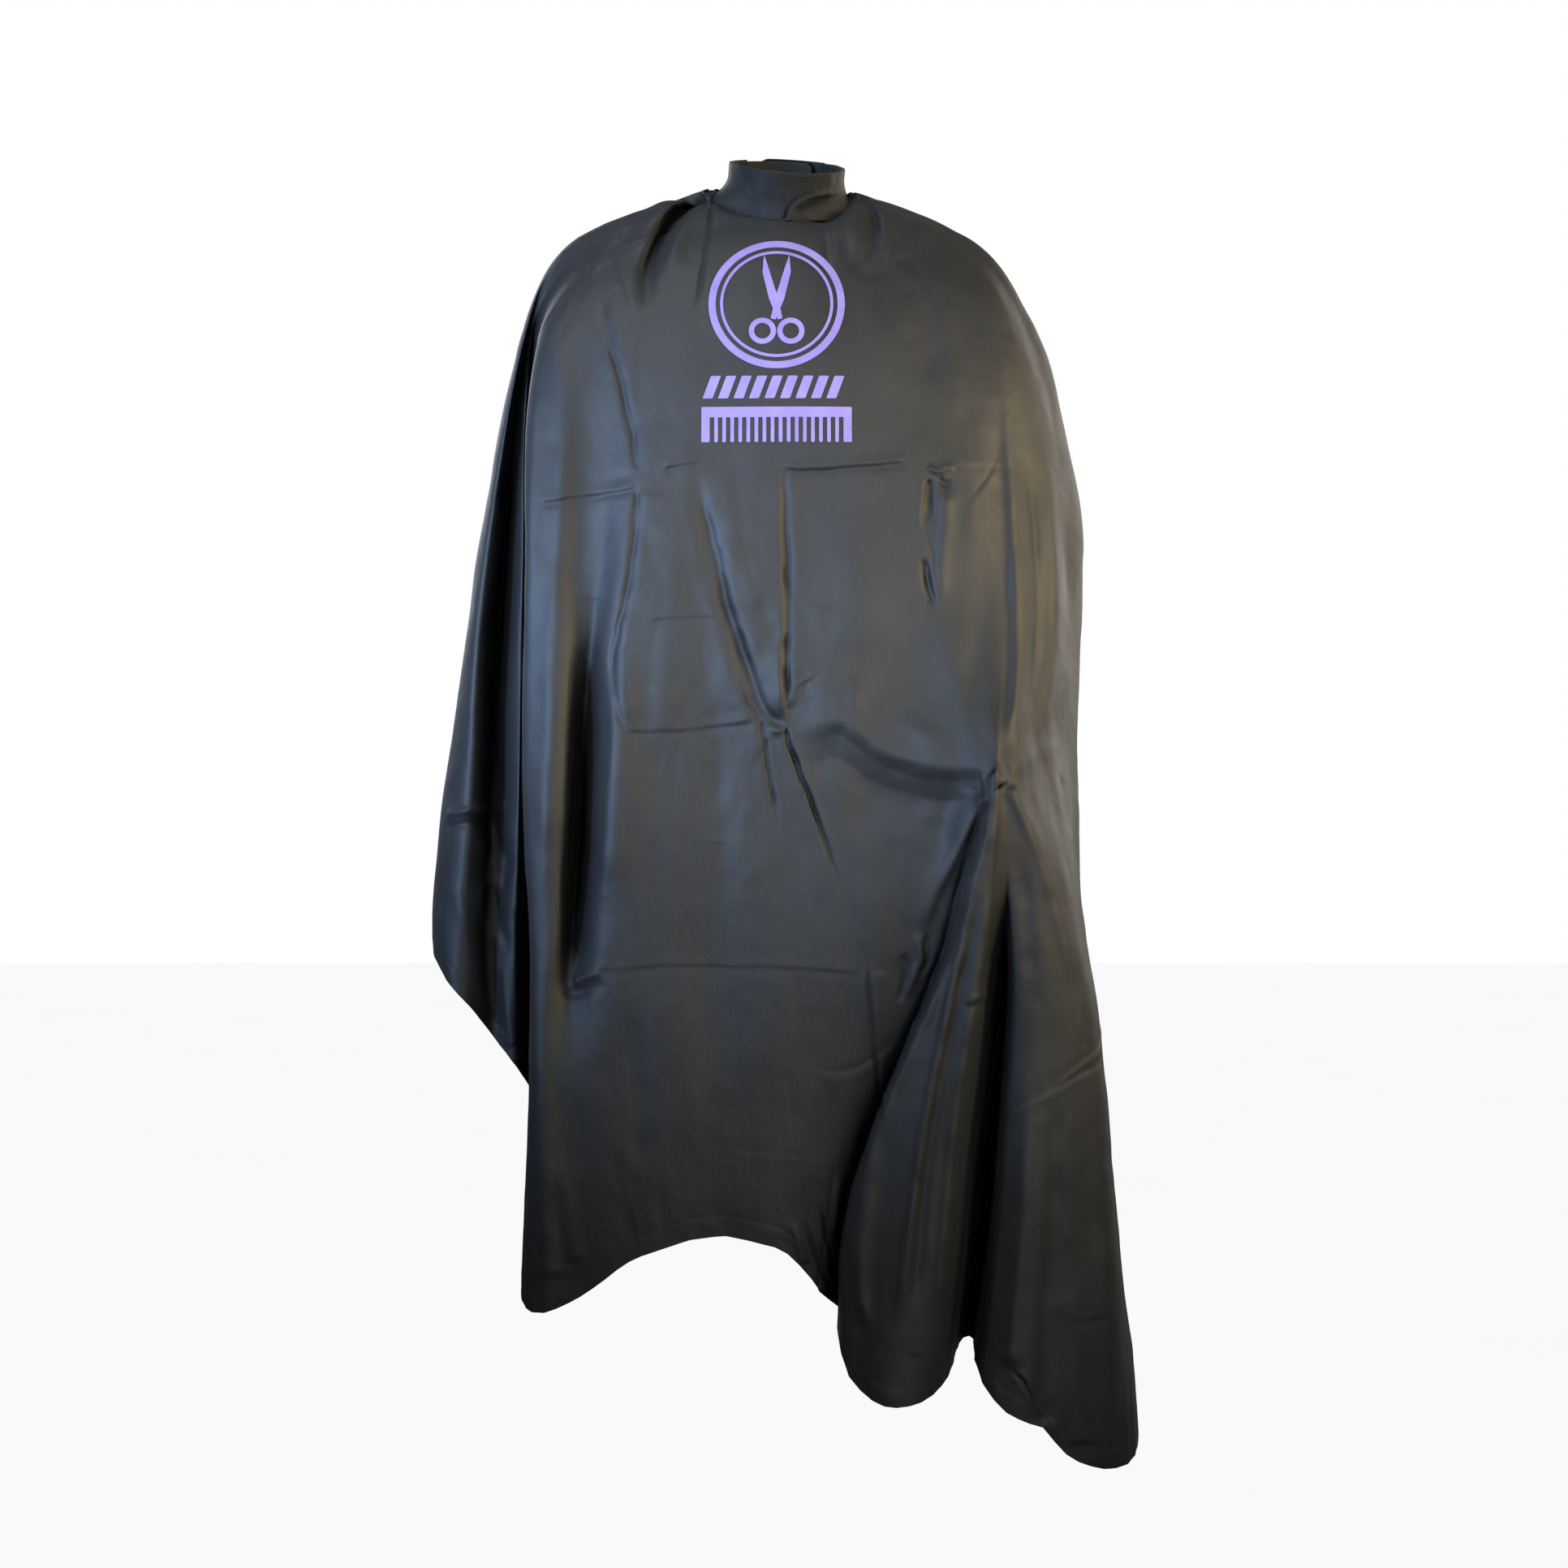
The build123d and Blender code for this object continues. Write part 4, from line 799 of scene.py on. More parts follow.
def crumple():
    points = cloth.reshape(-1, 3)
    height = (
        1.9 * noise3(points, (66, 66, 170), seed=11)
        + 0.80 * noise3(points, (31, 31, 74), seed=12)
        + 0.26 * noise3(points, (14, 14, 24), seed=13)
    )
    height += random_strokes()
    below_neck = smooth(np.tile(np.arange(ROWS), COLUMNS) / (ROWS - 1) / 0.10)
    edges = 1.0
    # fall line, columns each side over which it calms, crumple kept on it
    for name, reach, kept in (("left edge", 6, 0.35), ("right edge", 6, 0.35),
                              ("panel edge", 5, 0.4)):
        at = col_of[name]
        edges = edges * np.interp(columns, [at - reach, at, at + reach], [1, kept, 1])
    strength = np.where(front, 0.98, 1.8)
    height = height * strength * (1 - 0.75 * badge) * below_neck * np.repeat(edges, ROWS)
    return height.reshape(COLUMNS, ROWS, 1)


def grid_normals(grid):
    """Outward unit normals."""
    n = np.cross(np.gradient(grid, axis=1), np.gradient(grid, axis=0))
    return n / np.maximum(np.linalg.norm(n, axis=-1, keepdims=True), 1e-9)


crumple_height = crumple()
lift *= np.where(badge > 0.02, 1 - 0.55 * badge, 1)
smooth_normals = grid_normals(cloth)
# folds rise towards the viewer, but square to the cloth where it turns away
turned = smooth((0.72 - np.abs(smooth_normals[..., 1:2])) / 0.5)
push = np.array([0.0, -1.0, 0.0]) * (1 - turned) + smooth_normals * turned
cloth = cloth + push * lift.reshape(COLUMNS, ROWS, 1)


def overhang(line, strengths, move, width, offset):
    """Shifts a band beside the line by `move`; offset is signed as in line_distance."""
    line = curve(line)
    near = near_line(line, 4 * width + abs(offset), front)
    distance, t = line_distance(line, drawn_at[near])
    share = np.exp(-(((distance - offset) / width) ** 2))
    share *= np.interp(t, np.linspace(0, 1, len(strengths)), strengths)
    cloth.reshape(-1, 3)[near] += share[:, None] * np.array(move)


# the shoulder rolls hang a little over the deep folds beside the neck
overhang("692.8 190.4, 676 201.6, 658.4 216, 646.4 239.2, 637.6 268",
         [0.6, 1.0, 1.0, 0.6, 0], move=(3.5, -7.0, 1.5), width=5.6, offset=-7.2)
overhang("844.8 192.8, 858.4 204.8, 864 222.4, 862.4 240",
         [0.4, 0.8, 0.8, 0.2], move=(-2.5, -5.0, 1.0), width=5.6, offset=7.2)
cloth = cloth + smooth_normals * crumple_height

# hem: two thicknesses of cloth, a stitched line that pulls in, and a slight ripple
arc = np.cumsum(np.linalg.norm(np.diff(cloth, axis=1), axis=-1), 1)
arc = np.concatenate([np.zeros((COLUMNS, 1)), arc], 1)
from_hem = arc[:, -1:] - arc
ripple = noise3(cloth.reshape(-1, 3), (15, 15, 26), seed=21).reshape(COLUMNS, ROWS)
hem_height = (
    0.22 * smooth((20.5 - from_hem) / 3.2)
    - 0.26 * np.exp(-(((from_hem - 19.0) / 1.6) ** 2))
    + 0.55 * ripple * np.exp(-(((from_hem - 10) / 14) ** 2))
)
cloth = cloth + grid_normals(cloth) * hem_height[..., None]
normals = grid_normals(cloth)

# keep within the CAD box and a small margin round it
room = (0.03 * (np.array(cad_hi) - np.array(cad_lo)) + 0.010) * 1000 - 2.0
cloth = np.clip(cloth, np.array(cad_lo) * 1000 - room, np.array(cad_hi) * 1000 + room)
inner = cloth - normals * CLOTH_T


# ---------------------------------------------------------------------------
# mesh helpers
# ---------------------------------------------------------------------------
def place(name, mesh, material):
    ob = bpy.data.objects.new(name, mesh)
    bpy.context.scene.collection.objects.link(ob)
    mesh.materials.append(material)
    return ob


def new_mesh(name, verts, faces, material):
    """Smooth-shaded object from millimetre points."""
    mesh = bpy.data.meshes.new(name)
    mesh.from_pydata([tuple(v) for v in np.asarray(verts) * MM], [], [tuple(f) for f in faces])
    mesh.update()
    mesh.validate(clean_customdata=False)
    mesh.polygons.foreach_set("use_smooth", np.ones(len(mesh.polygons), bool))
    return place(name, mesh, material)


def solid(name, verts, faces, material):
    """As new_mesh, with its faces turned outward."""
    ob = new_mesh(name, verts, faces, material)
    bm = bmesh.new()
    bm.from_mesh(ob.data)
    bmesh.ops.recalc_face_normals(bm, faces=bm.faces)
    bm.to_mesh(ob.data)
    bm.free()
    return ob


def grid_quads(vid):
    return np.stack([vid[:-1, :-1], vid[1:, :-1], vid[1:, 1:], vid[:-1, 1:]], -1)


def grid_tree(grid):
    quads = grid_quads(np.arange(grid.shape[0] * grid.shape[1]).reshape(grid.shape[:2]))
    return BVHTree.FromPolygons([tuple(v) for v in grid.reshape(-1, 3)],
                                [tuple(q) for q in quads.reshape(-1, 4)])


def cloth_piece(name, cells):
    """The marked cells of the cloth as a thin sheet, rimmed on the cloth's true edges only."""
    n = COLUMNS * ROWS
    vid = np.arange(n).reshape(COLUMNS, ROWS)
    quads = grid_quads(vid)[cells][:, ::-1]
    faces = [quads, quads[:, ::-1] + n]
    for ids, marked, turn in ((vid[0], cells[0], False), (vid[-1], cells[-1], True),
                              (vid[:, 0], cells[:, 0], True), (vid[:, -1], cells[:, -1], False)):
        p, q = ids[:-1][marked], ids[1:][marked]
        rim = np.stack([p, q, q + n, p + n], 1)
        faces.append(rim[:, ::-1] if turn else rim)
    faces = np.concatenate(faces)
    points = np.concatenate([cloth.reshape(-1, 3), inner.reshape(-1, 3)])
    used = np.unique(faces)
    renumber = np.full(len(points), -1)
    renumber[used] = np.arange(len(used))
    faces = renumber[faces]
    mesh = bpy.data.meshes.new(name)
    mesh.vertices.add(len(used))
    mesh.vertices.foreach_set("co", (points[used] * MM).astype(np.float32).ravel())
    mesh.loops.add(faces.size)
    mesh.loops.foreach_set("vertex_index", faces.astype(np.int32).ravel())
    mesh.polygons.add(len(faces))
    mesh.polygons.foreach_set("loop_start", np.arange(0, faces.size, 4, dtype=np.int32))
    mesh.update(calc_edges=True)
    mesh.polygons.foreach_set("use_smooth", np.ones(len(mesh.polygons), bool))
    ob = place(name, mesh, CLOTH)
    # the same normals on both sides of a division, so that no line shows
    both = np.concatenate([normals.reshape(-1, 3), -normals.reshape(-1, 3)])[used]
    mesh.normals_split_custom_set_from_vertices([tuple(v) for v in both])
    return ob


def runs_of(marked):
    """(start, end) of each unbroken run of marked spans."""
    runs, start = [], None
    for i, ok in enumerate(list(marked) + [False]):
        if ok and start is None:
            start = i
        if not ok and start is not None:
            runs.append((start, i))
            start = None
    return runs


def strip(name, outer_grid, inner_grid, marked, material):
    """Closed thin strips from two grids, over the marked column spans."""
    verts, faces = [], []
    depth = outer_grid.shape[1]
    for a, b in runs_of(marked):
        base, count = len(verts), b - a + 1
        verts += list(outer_grid[a : b + 1].reshape(-1, 3))
        verts += list(inner_grid[a : b + 1].reshape(-1, 3))
        n = count * depth
        vid = lambda u, v: base + u * depth + v
        for u in range(count - 1):
            for v in range(depth - 1):
                quad = (vid(u, v), vid(u + 1, v), vid(u + 1, v + 1), vid(u, v + 1))
                faces.append(quad)
                faces.append(tuple(x + n for x in quad[::-1]))
            p, q = vid(u, 0), vid(u + 1, 0)
            faces.append((p, p + n, q + n, q))
            p, q = vid(u, depth - 1), vid(u + 1, depth - 1)
            faces.append((p, q, q + n, p + n))
        for v in range(depth - 1):
            p, q = vid(0, v), vid(0, v + 1)
            faces.append((p, q, q + n, p + n))
            p, q = vid(count - 1, v), vid(count - 1, v + 1)
            faces.append((p, p + n, q + n, q))
    return solid(name, verts, faces, material)


# ---------------------------------------------------------------------------
# materials
# ---------------------------------------------------------------------------
def new_material(name):
    material = bpy.data.materials.new(name)
    material.use_nodes = True
    tree = material.node_tree
    return material, tree, tree.nodes["Principled BSDF"]


def set_values(target, **values):
    """Sets inputs (underscores stand for spaces) or, failing that, properties."""
    for key, value in values.items():
        socket = key.replace("_", " ")
        if socket in target.inputs:
            target.inputs[socket].default_value = value
        else:
            setattr(target, key, value)


def node(tree, kind, feeds=None, **values):
    """New shader node; feeds maps its inputs to the sockets linked to them."""
    new = tree.nodes.new("ShaderNode" + kind)
    set_values(new, **values)
    for socket, source in (feeds or {}).items():
        tree.links.new(source, new.inputs[socket])
    return new


def feed(tree, target, **sources):
    for key, source in sources.items():
        tree.links.new(source, target.inputs[key.replace("_", " ")])


def object_coords(tree):
    return node(tree, "TexCoord").outputs["Object"]


def texture(tree, kind, at, **values):
    return node(tree, "Tex" + kind, {"Vector": at}, **values).outputs["Fac"]


def wave(tree, at, direction, **values):
    return texture(tree, "Wave", at, wave_type="BANDS", bands_direction=direction, **values)


def ramp(tree, source, stops):
    new = node(tree, "ValToRGB", {0: source})
    elements = new.color_ramp.elements
    while len(elements) < len(stops):
        elements.new(0.5)
    for element, (position, color) in zip(elements, stops):
        element.position = position
        element.color = (*color, 1)
    return new.outputs["Color"]


def map_range(tree, source, low, high, **limits):
    new = node(tree, "MapRange", {"Value": source}, To_Min=low, To_Max=high, **limits)
    return new.outputs[0]


def tint(tree, color, by):
    """Colour multiplied by another."""
    return node(tree, "Mix", {6: color, 7: by}, data_type="RGBA", blend_type="MULTIPLY",
                Factor=1.0).outputs[2]


def bump(tree, height, strength, distance, under=None):
    feeds = {"Height": height}
    if under:
        feeds["Normal"] = under
    return node(tree, "Bump", feeds, Strength=strength, Distance=distance).outputs[0]


def satin(name, base, rough=0.54, weave=1.0, crumple=1.0, sheen=0.10):
    """Black satin: fine weave, soft crumple, uneven sheen, and painted shade in its folds; weave
    and crumple scale the bumps.
    """
    material, tree, shader = new_material(name)
    at = object_coords(tree)
    threads_at = node(tree, "Mapping", {"Vector": at}, Scale=(1, 1, 1)).outputs[0]
    weft = wave(tree, threads_at, "Z", wave_profile="SIN",
                Scale=520.0, Distortion=0.6, Detail=1.0)
    warp = wave(tree, threads_at, "DIAGONAL", wave_profile="SIN", Scale=420.0, Distortion=0.8)
    threads = node(tree, "Math", {0: weft, 1: warp}, operation="ADD").outputs[0]
    # slubs: long thin streaks along the fall of the cloth
    slub_at = node(tree, "Mapping", {"Vector": at}, Scale=(420, 420, 9)).outputs[0]
    slub = texture(tree, "Noise", slub_at, Scale=1.0, Detail=2.0)
    patch = texture(tree, "Noise", at, Scale=7.0, Detail=4.0, Roughness=0.6)
    color = ramp(tree, patch, [(0.30, tuple(x * 0.82 for x in base)),
                               (0.70, tuple(x * 1.18 for x in base))])
    streak = ramp(tree, slub, [(0.30, (0.94,) * 3), (0.72, (1.07,) * 3)])
    color = tint(tree, color, streak)
    # painted shade: ambient occlusion darkens the colour and the specular in deep folds and
    # creases, where the cloth closes in on itself
    near = node(tree, "AmbientOcclusion", samples=4, Distance=0.009).outputs["AO"]
    far = node(tree, "AmbientOcclusion", samples=6, Distance=0.034).outputs["AO"]
    both = node(tree, "Math", {0: near, 1: far}, operation="MULTIPLY").outputs[0]
    painted_fold_shade = map_range(tree, both, 0.25, 1.0, From_Min=0.32, From_Max=0.91)
    color = tint(tree, color, painted_fold_shade)
    # painted shade on the reflection too: the specular level falls with the same occlusion
    fold_shaded_specular = node(tree, "Math", {0: painted_fold_shade}, operation="MULTIPLY")
    fold_shaded_specular.inputs[1].default_value = 0.58
    handled = texture(tree, "Noise", at, Scale=16.0, Detail=5.0)
    roughness = map_range(tree, handled, rough - 0.05, rough + 0.07)
    soft = texture(tree, "Noise", at, Scale=58.0, Detail=3.0, Roughness=0.55, Distortion=0.3)
    ridges = texture(tree, "Noise", at, noise_type="RIDGED_MULTIFRACTAL",
                     Scale=17.0, Detail=3.0)
    normal = bump(tree, soft, strength=0.16 * crumple, distance=0.004)
    normal = bump(tree, ridges, strength=0.05 * crumple, distance=0.003, under=normal)
    normal = bump(tree, threads, strength=0.10 * weave, distance=0.0003, under=normal)
    feed(tree, shader, Base_Color=color, Specular_IOR_Level=fold_shaded_specular.outputs[0],
         Roughness=roughness, Normal=normal)
    set_values(shader, Sheen_Weight=sheen, Sheen_Roughness=0.35,
               Sheen_Tint=(0.72, 0.76, 0.86, 1), Anisotropic=0.25)
    return material


def thread_material():
    material, tree, shader = new_material("sewing_thread")
    twist = wave(tree, object_coords(tree), "DIAGONAL", Scale=900.0)
    color = ramp(tree, twist, [(0.2, (0.016, 0.016, 0.018)), (0.8, (0.055, 0.055, 0.060))])
    normal = bump(tree, twist, strength=0.4, distance=0.0002)
    feed(tree, shader, Base_Color=color, Normal=normal)
    set_values(shader, Roughness=0.5, Sheen_Weight=0.3)
    return material


def ink_material():
    """Printed ink: matt, slightly uneven cover, pinholes, and the weave telling through."""
    material, tree, shader = new_material("print_ink")
    at = object_coords(tree)
    cover = texture(tree, "Noise", at, Scale=46.0, Detail=6.0)
    color = ramp(tree, cover, [(0.25, (0.335, 0.255, 0.66)), (0.55, (0.40, 0.31, 0.74)),
                               (0.8, (0.46, 0.37, 0.79))])
    fine = texture(tree, "Noise", at, Scale=900.0, Detail=2.0)
    pinholes = ramp(tree, fine, [(0.26, (0.72, 0.70, 0.80)), (0.36, (1, 1, 1))])
    color = tint(tree, color, pinholes)
    weave = wave(tree, at, "Z", Scale=420.0)
    normal = bump(tree, weave, strength=0.12, distance=0.0003)
    normal = bump(tree, cover, strength=0.2, distance=0.001, under=normal)
    roughness = map_range(tree, cover, 0.48, 0.66)
    feed(tree, shader, Base_Color=color, Normal=normal, Roughness=roughness)
    set_values(shader, Specular_IOR_Level=0.35)
    return material


def label_material():
    material, tree, shader = new_material("label_tape")
    at = object_coords(tree)
    weave = wave(tree, at, "Z", Scale=320.0, Distortion=0.4)
    patch = texture(tree, "Noise", at, Scale=60.0)
    color = ramp(tree, patch, [(0.3, (0.66, 0.65, 0.62)), (0.7, (0.78, 0.78, 0.75))])
    normal = bump(tree, weave, strength=0.35, distance=0.0003)
    feed(tree, shader, Base_Color=color, Normal=normal)
    set_values(shader, Roughness=0.55, Sheen_Weight=0.3)
    return material


def metal_material():
    material, tree, shader = new_material("snap_metal")
    at = object_coords(tree)
    grain = texture(tree, "Noise", at, Scale=700.0, Detail=5.0)
    patch = texture(tree, "Noise", at, Scale=160.0)
    color = ramp(tree, patch, [(0.3, (0.30, 0.30, 0.31)), (0.7, (0.44, 0.44, 0.45))])
    roughness = map_range(tree, grain, 0.22, 0.45)
    normal = bump(tree, grain, strength=0.15, distance=0.0002)
    feed(tree, shader, Base_Color=color, Roughness=roughness, Normal=normal)
    set_values(shader, Metallic=1.0)
    return material


CLOTH = satin("cape_satin", (0.0235, 0.0245, 0.0255))
BAND = satin("band_satin", (0.0135, 0.0142, 0.0146), rough=0.62, weave=1.6, crumple=0.6,
             sheen=0.12)
BINDING = satin("binding_satin", (0.019, 0.020, 0.021), rough=0.55, weave=1.2, crumple=0.5)
THREAD = thread_material()
INK = ink_material()
LABEL = label_material()
METAL = metal_material()

# ---------------------------------------------------------------------------
# cloth pieces: the body, and the two back edges cut off along slanting hinge lines
# ---------------------------------------------------------------------------
SIDES = ((-1, "left"), (1, "right"))
BEND = 15.0                          # how far past its hinge line a back edge piece reaches
joints = {joint["name"]: joint for joint in frame["joints"]}


def hinge_of(side, name):
    """A point on the hinge line, and the direction square to it towards the nape opening."""
    joint = joints[f"back_flap_{name}_swing"]
    axis = unit(np.array(joint["axis"], float))
    inward = unit(np.array([-axis[2], 0, axis[0]]))
    if inward[0] * side > 0:
        inward = -inward
    return np.array(joint["pos_m"]) * 1000, inward


HINGES = {side: hinge_of(side, name) for side, name in SIDES}


def attach(ob, slot, *replaced, side=None):
    """Has the part ride the cape, or bakes it in place at one back edge; hides the CAD parts it
    replaces.
    """
    if side is None:
        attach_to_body(ob, "cape")
    else:
        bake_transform(ob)
    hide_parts(*replaced)


def flap_cells(side):
    """Cells of the back that lie inboard of one hinge line, or less than BEND outboard of it."""
    point, inward = HINGES[side]
    inboard = (cloth - point) @ inward
    furthest = np.maximum.reduce(
        [inboard[:-1, :-1], inboard[1:, :-1], inboard[1:, 1:], inboard[:-1, 1:]])
    mid = 0.25 * (cloth[:-1, :-1] + cloth[1:, :-1] + cloth[1:, 1:] + cloth[:-1, 1:])
    on_back = (mid[..., 1] > 60) & (np.sign(mid[..., 0]) == side) & (mid[..., 2] < -150)
    cell = np.arange(COLUMNS - 1)
    outside = cell < col_of["left edge"] if side < 0 else cell > col_of["right edge"]
    return on_back & outside[:, None] & (furthest > -BEND)


flaps = {side: flap_cells(side) for side, _ in SIDES}
body_cells = ~(flaps[-1] | flaps[1])
attach(cloth_piece("cape_drape", body_cells), "cape_fabric", "cape_cloth")
for side, name in SIDES:
    attach(cloth_piece(f"back_edge_{name}", flaps[side]), "cape_fabric", f"back_flap_{name}",
           side=side)


# ---------------------------------------------------------------------------
# hem turn-up and back edge facings
# ---------------------------------------------------------------------------
def above_hem(distance):
    """Points and normals this far above the hem, for every column."""
    points, directions = np.zeros((COLUMNS, 3)), np.zeros((COLUMNS, 3))
    for c in range(COLUMNS):
        up = from_hem[c, ::-1]
        for axis in range(3):
            points[c, axis] = np.interp(distance, up, cloth[c, ::-1, axis])
            directions[c, axis] = np.interp(distance, up, normals[c, ::-1, axis])
    return points, unit(directions)


levels = [above_hem(distance) for distance in np.linspace(0.6, HEM_W, 10)]
turn_points = np.stack([level[0] for level in levels], 1)
turn_normals = np.stack([level[1] for level in levels], 1)
turn_outer = turn_points - turn_normals * LINING_GAP
turn_inner = turn_points - turn_normals * (LINING_GAP + 0.55)
# part suffix, CAD suffix, hem spans, side
HEM_PARTS = [
    ("body", "", ~(flaps[-1][:, -1] | flaps[1][:, -1]), None),
    ("left", "_flap_left", flaps[-1][:, -1], -1),
    ("right", "_flap_right", flaps[1][:, -1], 1),
]
for name, cad_name, marked, side in HEM_PARTS:
    ob = strip(f"hem_fold_{name}", turn_outer, turn_inner, marked, CLOTH)
    attach(ob, "cape_fabric", f"hem_turnup{cad_name}", side=side)


def edge_facing(side, name):
    """Strip folded in along a free back edge, from below the nape down to the hem."""
    order = slice(None) if side < 0 else slice(None, None, -1)
    grid, directions = cloth[order][:60], normals[order][:60]
    rows = np.nonzero((grid[0, :, 2] < -212)
                      & (from_hem[order][0] > HEM_W + 0.5))[0]
    widths = np.linspace(0.6, FACING_W, 6)
    points, facing_normals = [], []
    for row in rows:
        length = running_length(grid[:, row])
        points.append(along_line(widths, length, grid[:, row]))
        facing_normals.append(along_line(widths, length, directions[:, row]))
    points, facing_normals = np.array(points), unit(np.array(facing_normals))
    ob = strip(f"edge_facing_{name}", points - facing_normals * LINING_GAP,
               points - facing_normals * (LINING_GAP + 0.5), [True] * (len(rows) - 1), CLOTH)
    attach(ob, "cape_fabric", f"back_edge_facing_{name}", side=side)


for side, name in SIDES:
    edge_facing(side, name)

# ---------------------------------------------------------------------------
# stitches
# ---------------------------------------------------------------------------
# bead sections: place along the stitch, radius share, height share
BEAD = [(-0.5, 0.15, -0.25), (-0.32, 0.8, 0.75), (0.0, 1.0, 1.0), (0.32, 0.8, 0.75),
        (0.5, 0.15, -0.25)]
BEAD_LIFT = 0.05


def stitches(path, directions, pitch=3.4, length=2.6, width=0.62, height=0.40):
    """A row of lockstitches: small rounded beads of thread lying on the cloth."""
    s = running_length(path)
    count = int(s[-1] / pitch)
    t = (np.arange(count) + 0.5) * pitch
    centre = along_line(t, s, path)
    up = unit(along_line(t, s, directions))
    way = (along_line(np.minimum(t + 0.5, s[-1]), s, path)
           - along_line(np.maximum(t - 0.5, 0), s, path))
    way = unit(way - (way * up).sum(1, keepdims=True) * up)
    side = np.cross(up, way)
    verts = []
    for x, radius, rise in BEAD:
        for angle in np.arange(6) * math.pi / 3 + math.pi / 6:
            verts.append(
                centre
                + way * (x * length)
                + side * (math.cos(angle) * radius * width / 2)
                + up * (BEAD_LIFT + height * 0.25 * rise
                        + math.sin(angle) * radius * height / 2)
            )
    faces = []
    for base in range(0, count * 30, 30):
        for k in range(4):
            for a in range(6):
                p, q = base + k * 6 + a, base + k * 6 + (a + 1) % 6
                faces.append((p, q, q + 6, p + 6))
        faces.append(tuple(base + a for a in range(5, -1, -1)))
        faces.append(tuple(base + 24 + a for a in range(6)))
    return np.stack(verts, 1).reshape(-1, 3), faces


def thread_rows(name, rows):
    verts, faces, base = [], [], 0
    for row_verts, row_faces in rows:
        verts.append(row_verts)
        faces += [tuple(x + base for x in face) for face in row_faces]
        base += len(row_verts)
    return new_mesh(name, np.concatenate(verts), faces, THREAD)


seam_points, seam_normals = above_hem(18.6)
for name, cad_name, marked, side in HEM_PARTS:
    rows = [stitches(seam_points[a : b + 1], seam_normals[a : b + 1])
            for a, b in runs_of(marked)]
    attach(thread_rows(f"hem_stitches_{name}", rows), "thread", f"hem_stitching{cad_name}",
           side=side)

# ---------------------------------------------------------------------------
# print: open scissors in a double ring, slanting bars and a comb
# ---------------------------------------------------------------------------
BADGE_X, BADGE_Z, BADGE_R = -9.0, -131.0, 65.0
BADGE_STEP = 0.95
# half-blade outline (x, z) about the pivot
BLADE = [(0, 46), (5.5, 30), (6.5, 2), (4, -20), (0, -20), (-1, 4)]


def segment_distance(x, z, ax, az, bx, bz):
    vx, vz = bx - ax, bz - az
    t = np.clip(((x - ax) * vx + (z - az) * vz) / (vx * vx + vz * vz), 0, 1)
    return np.hypot(x - ax - t * vx, z - az - t * vz)


def polygon_distance(x, z, corners):
    """Signed distance, negative inside."""
    distance = np.full(x.shape, 1e9)
    inside = np.zeros(x.shape, bool)
    for (ax, az), (bx, bz) in zip(corners, corners[1:] + corners[:1]):
        distance = np.minimum(distance, segment_distance(x, z, ax, az, bx, bz))
        if az != bz:
            crossing = (bx - ax) * (z - az) / (bz - az) + ax
            inside ^= ((az > z) != (bz > z)) & (x < crossing)
    return np.where(inside, -distance, distance)


def box_distance(x, z, mid_x, mid_z, half_x, half_z):
    return np.maximum(np.abs(x - mid_x) - half_x, np.abs(z - mid_z) - half_z)


def print_distance(x, z):
    r = np.hypot(x - BADGE_X, z - BADGE_Z)
    parts = [np.abs(r - (BADGE_R - 3.5)) - 3.5, np.abs(r - (BADGE_R - 12.5)) - 1.5]
    for side in (1, -1):
        angle = math.radians(15.0) * side
        cosine, sine = math.cos(angle), math.sin(angle)
        corners = [(BADGE_X + bx * side * cosine + bz * sine,
                    BADGE_Z + 4 - bx * side * sine + bz * cosine) for bx, bz in BLADE]
        parts.append(polygon_distance(x, z, corners) - 0.5)
        handle = np.hypot(x - (BADGE_X - side * 13.5), z - (BADGE_Z - 28.0))
        parts.append(np.abs(handle - 10.4) - 2.6)
    for k in range(9):                                  # slanting bars
        x0 = -79.0 + 14.6 * k
        parts.append(polygon_distance(
            x, z, [(x0, -225), (x0 + 9.5, -225), (x0 + 17.5, -203), (x0 + 8, -203)]))
    parts.append(box_distance(x, z, BADGE_X, -238, 71, 5))      # comb back, ends and teeth
    parts += [box_distance(x, z, end, -250, 4, 17) for end in (-76, 58)]
    parts += [box_distance(x, z, -66 + 7.6 * k, -250, 1.8, 17) for k in range(16)]
    return np.minimum.reduce(parts)


def badge_outline():
    """Flat points and faces of the print, cut from a square grid along its edge."""
    grid_x = np.arange(-84, 66, BADGE_STEP)
    grid_z = np.arange(-272, -60, BADGE_STEP)
    distance = print_distance(*np.meshgrid(grid_x, grid_z, indexing="ij"))
    points, faces, made = [], [], {}

    def corner(at):
        if at not in made:
            made[at] = len(points)
            points.append((grid_x[at[0]], grid_z[at[1]]))
        return made[at]

    def cut(one, other):
        key = (min(one, other), max(one, other))
        if key not in made:
            d0, d1 = distance[key[0]], distance[key[1]]
            t = float(np.clip(d0 / (d0 - d1), 0.04, 0.96))
            (i0, j0), (i1, j1) = key
            made[key] = len(points)
            points.append((grid_x[i0] + t * (grid_x[i1] - grid_x[i0]),
                           grid_z[j0] + t * (grid_z[j1] - grid_z[j0])))
        return made[key]

    for i in range(len(grid_x) - 1):
        for j in range(len(grid_z) - 1):
            cell = [(i, j), (i + 1, j), (i + 1, j + 1), (i, j + 1)]
            inside = [distance[at] < 0 for at in cell]
            face = []
            for k in range(4):
                following = (k + 1) % 4
                if inside[k]:
                    face.append(corner(cell[k]))
                if inside[k] != inside[following]:
                    face.append(cut(cell[k], cell[following]))
            if len(face) >= 3:
                faces.append(face)
    return points, faces


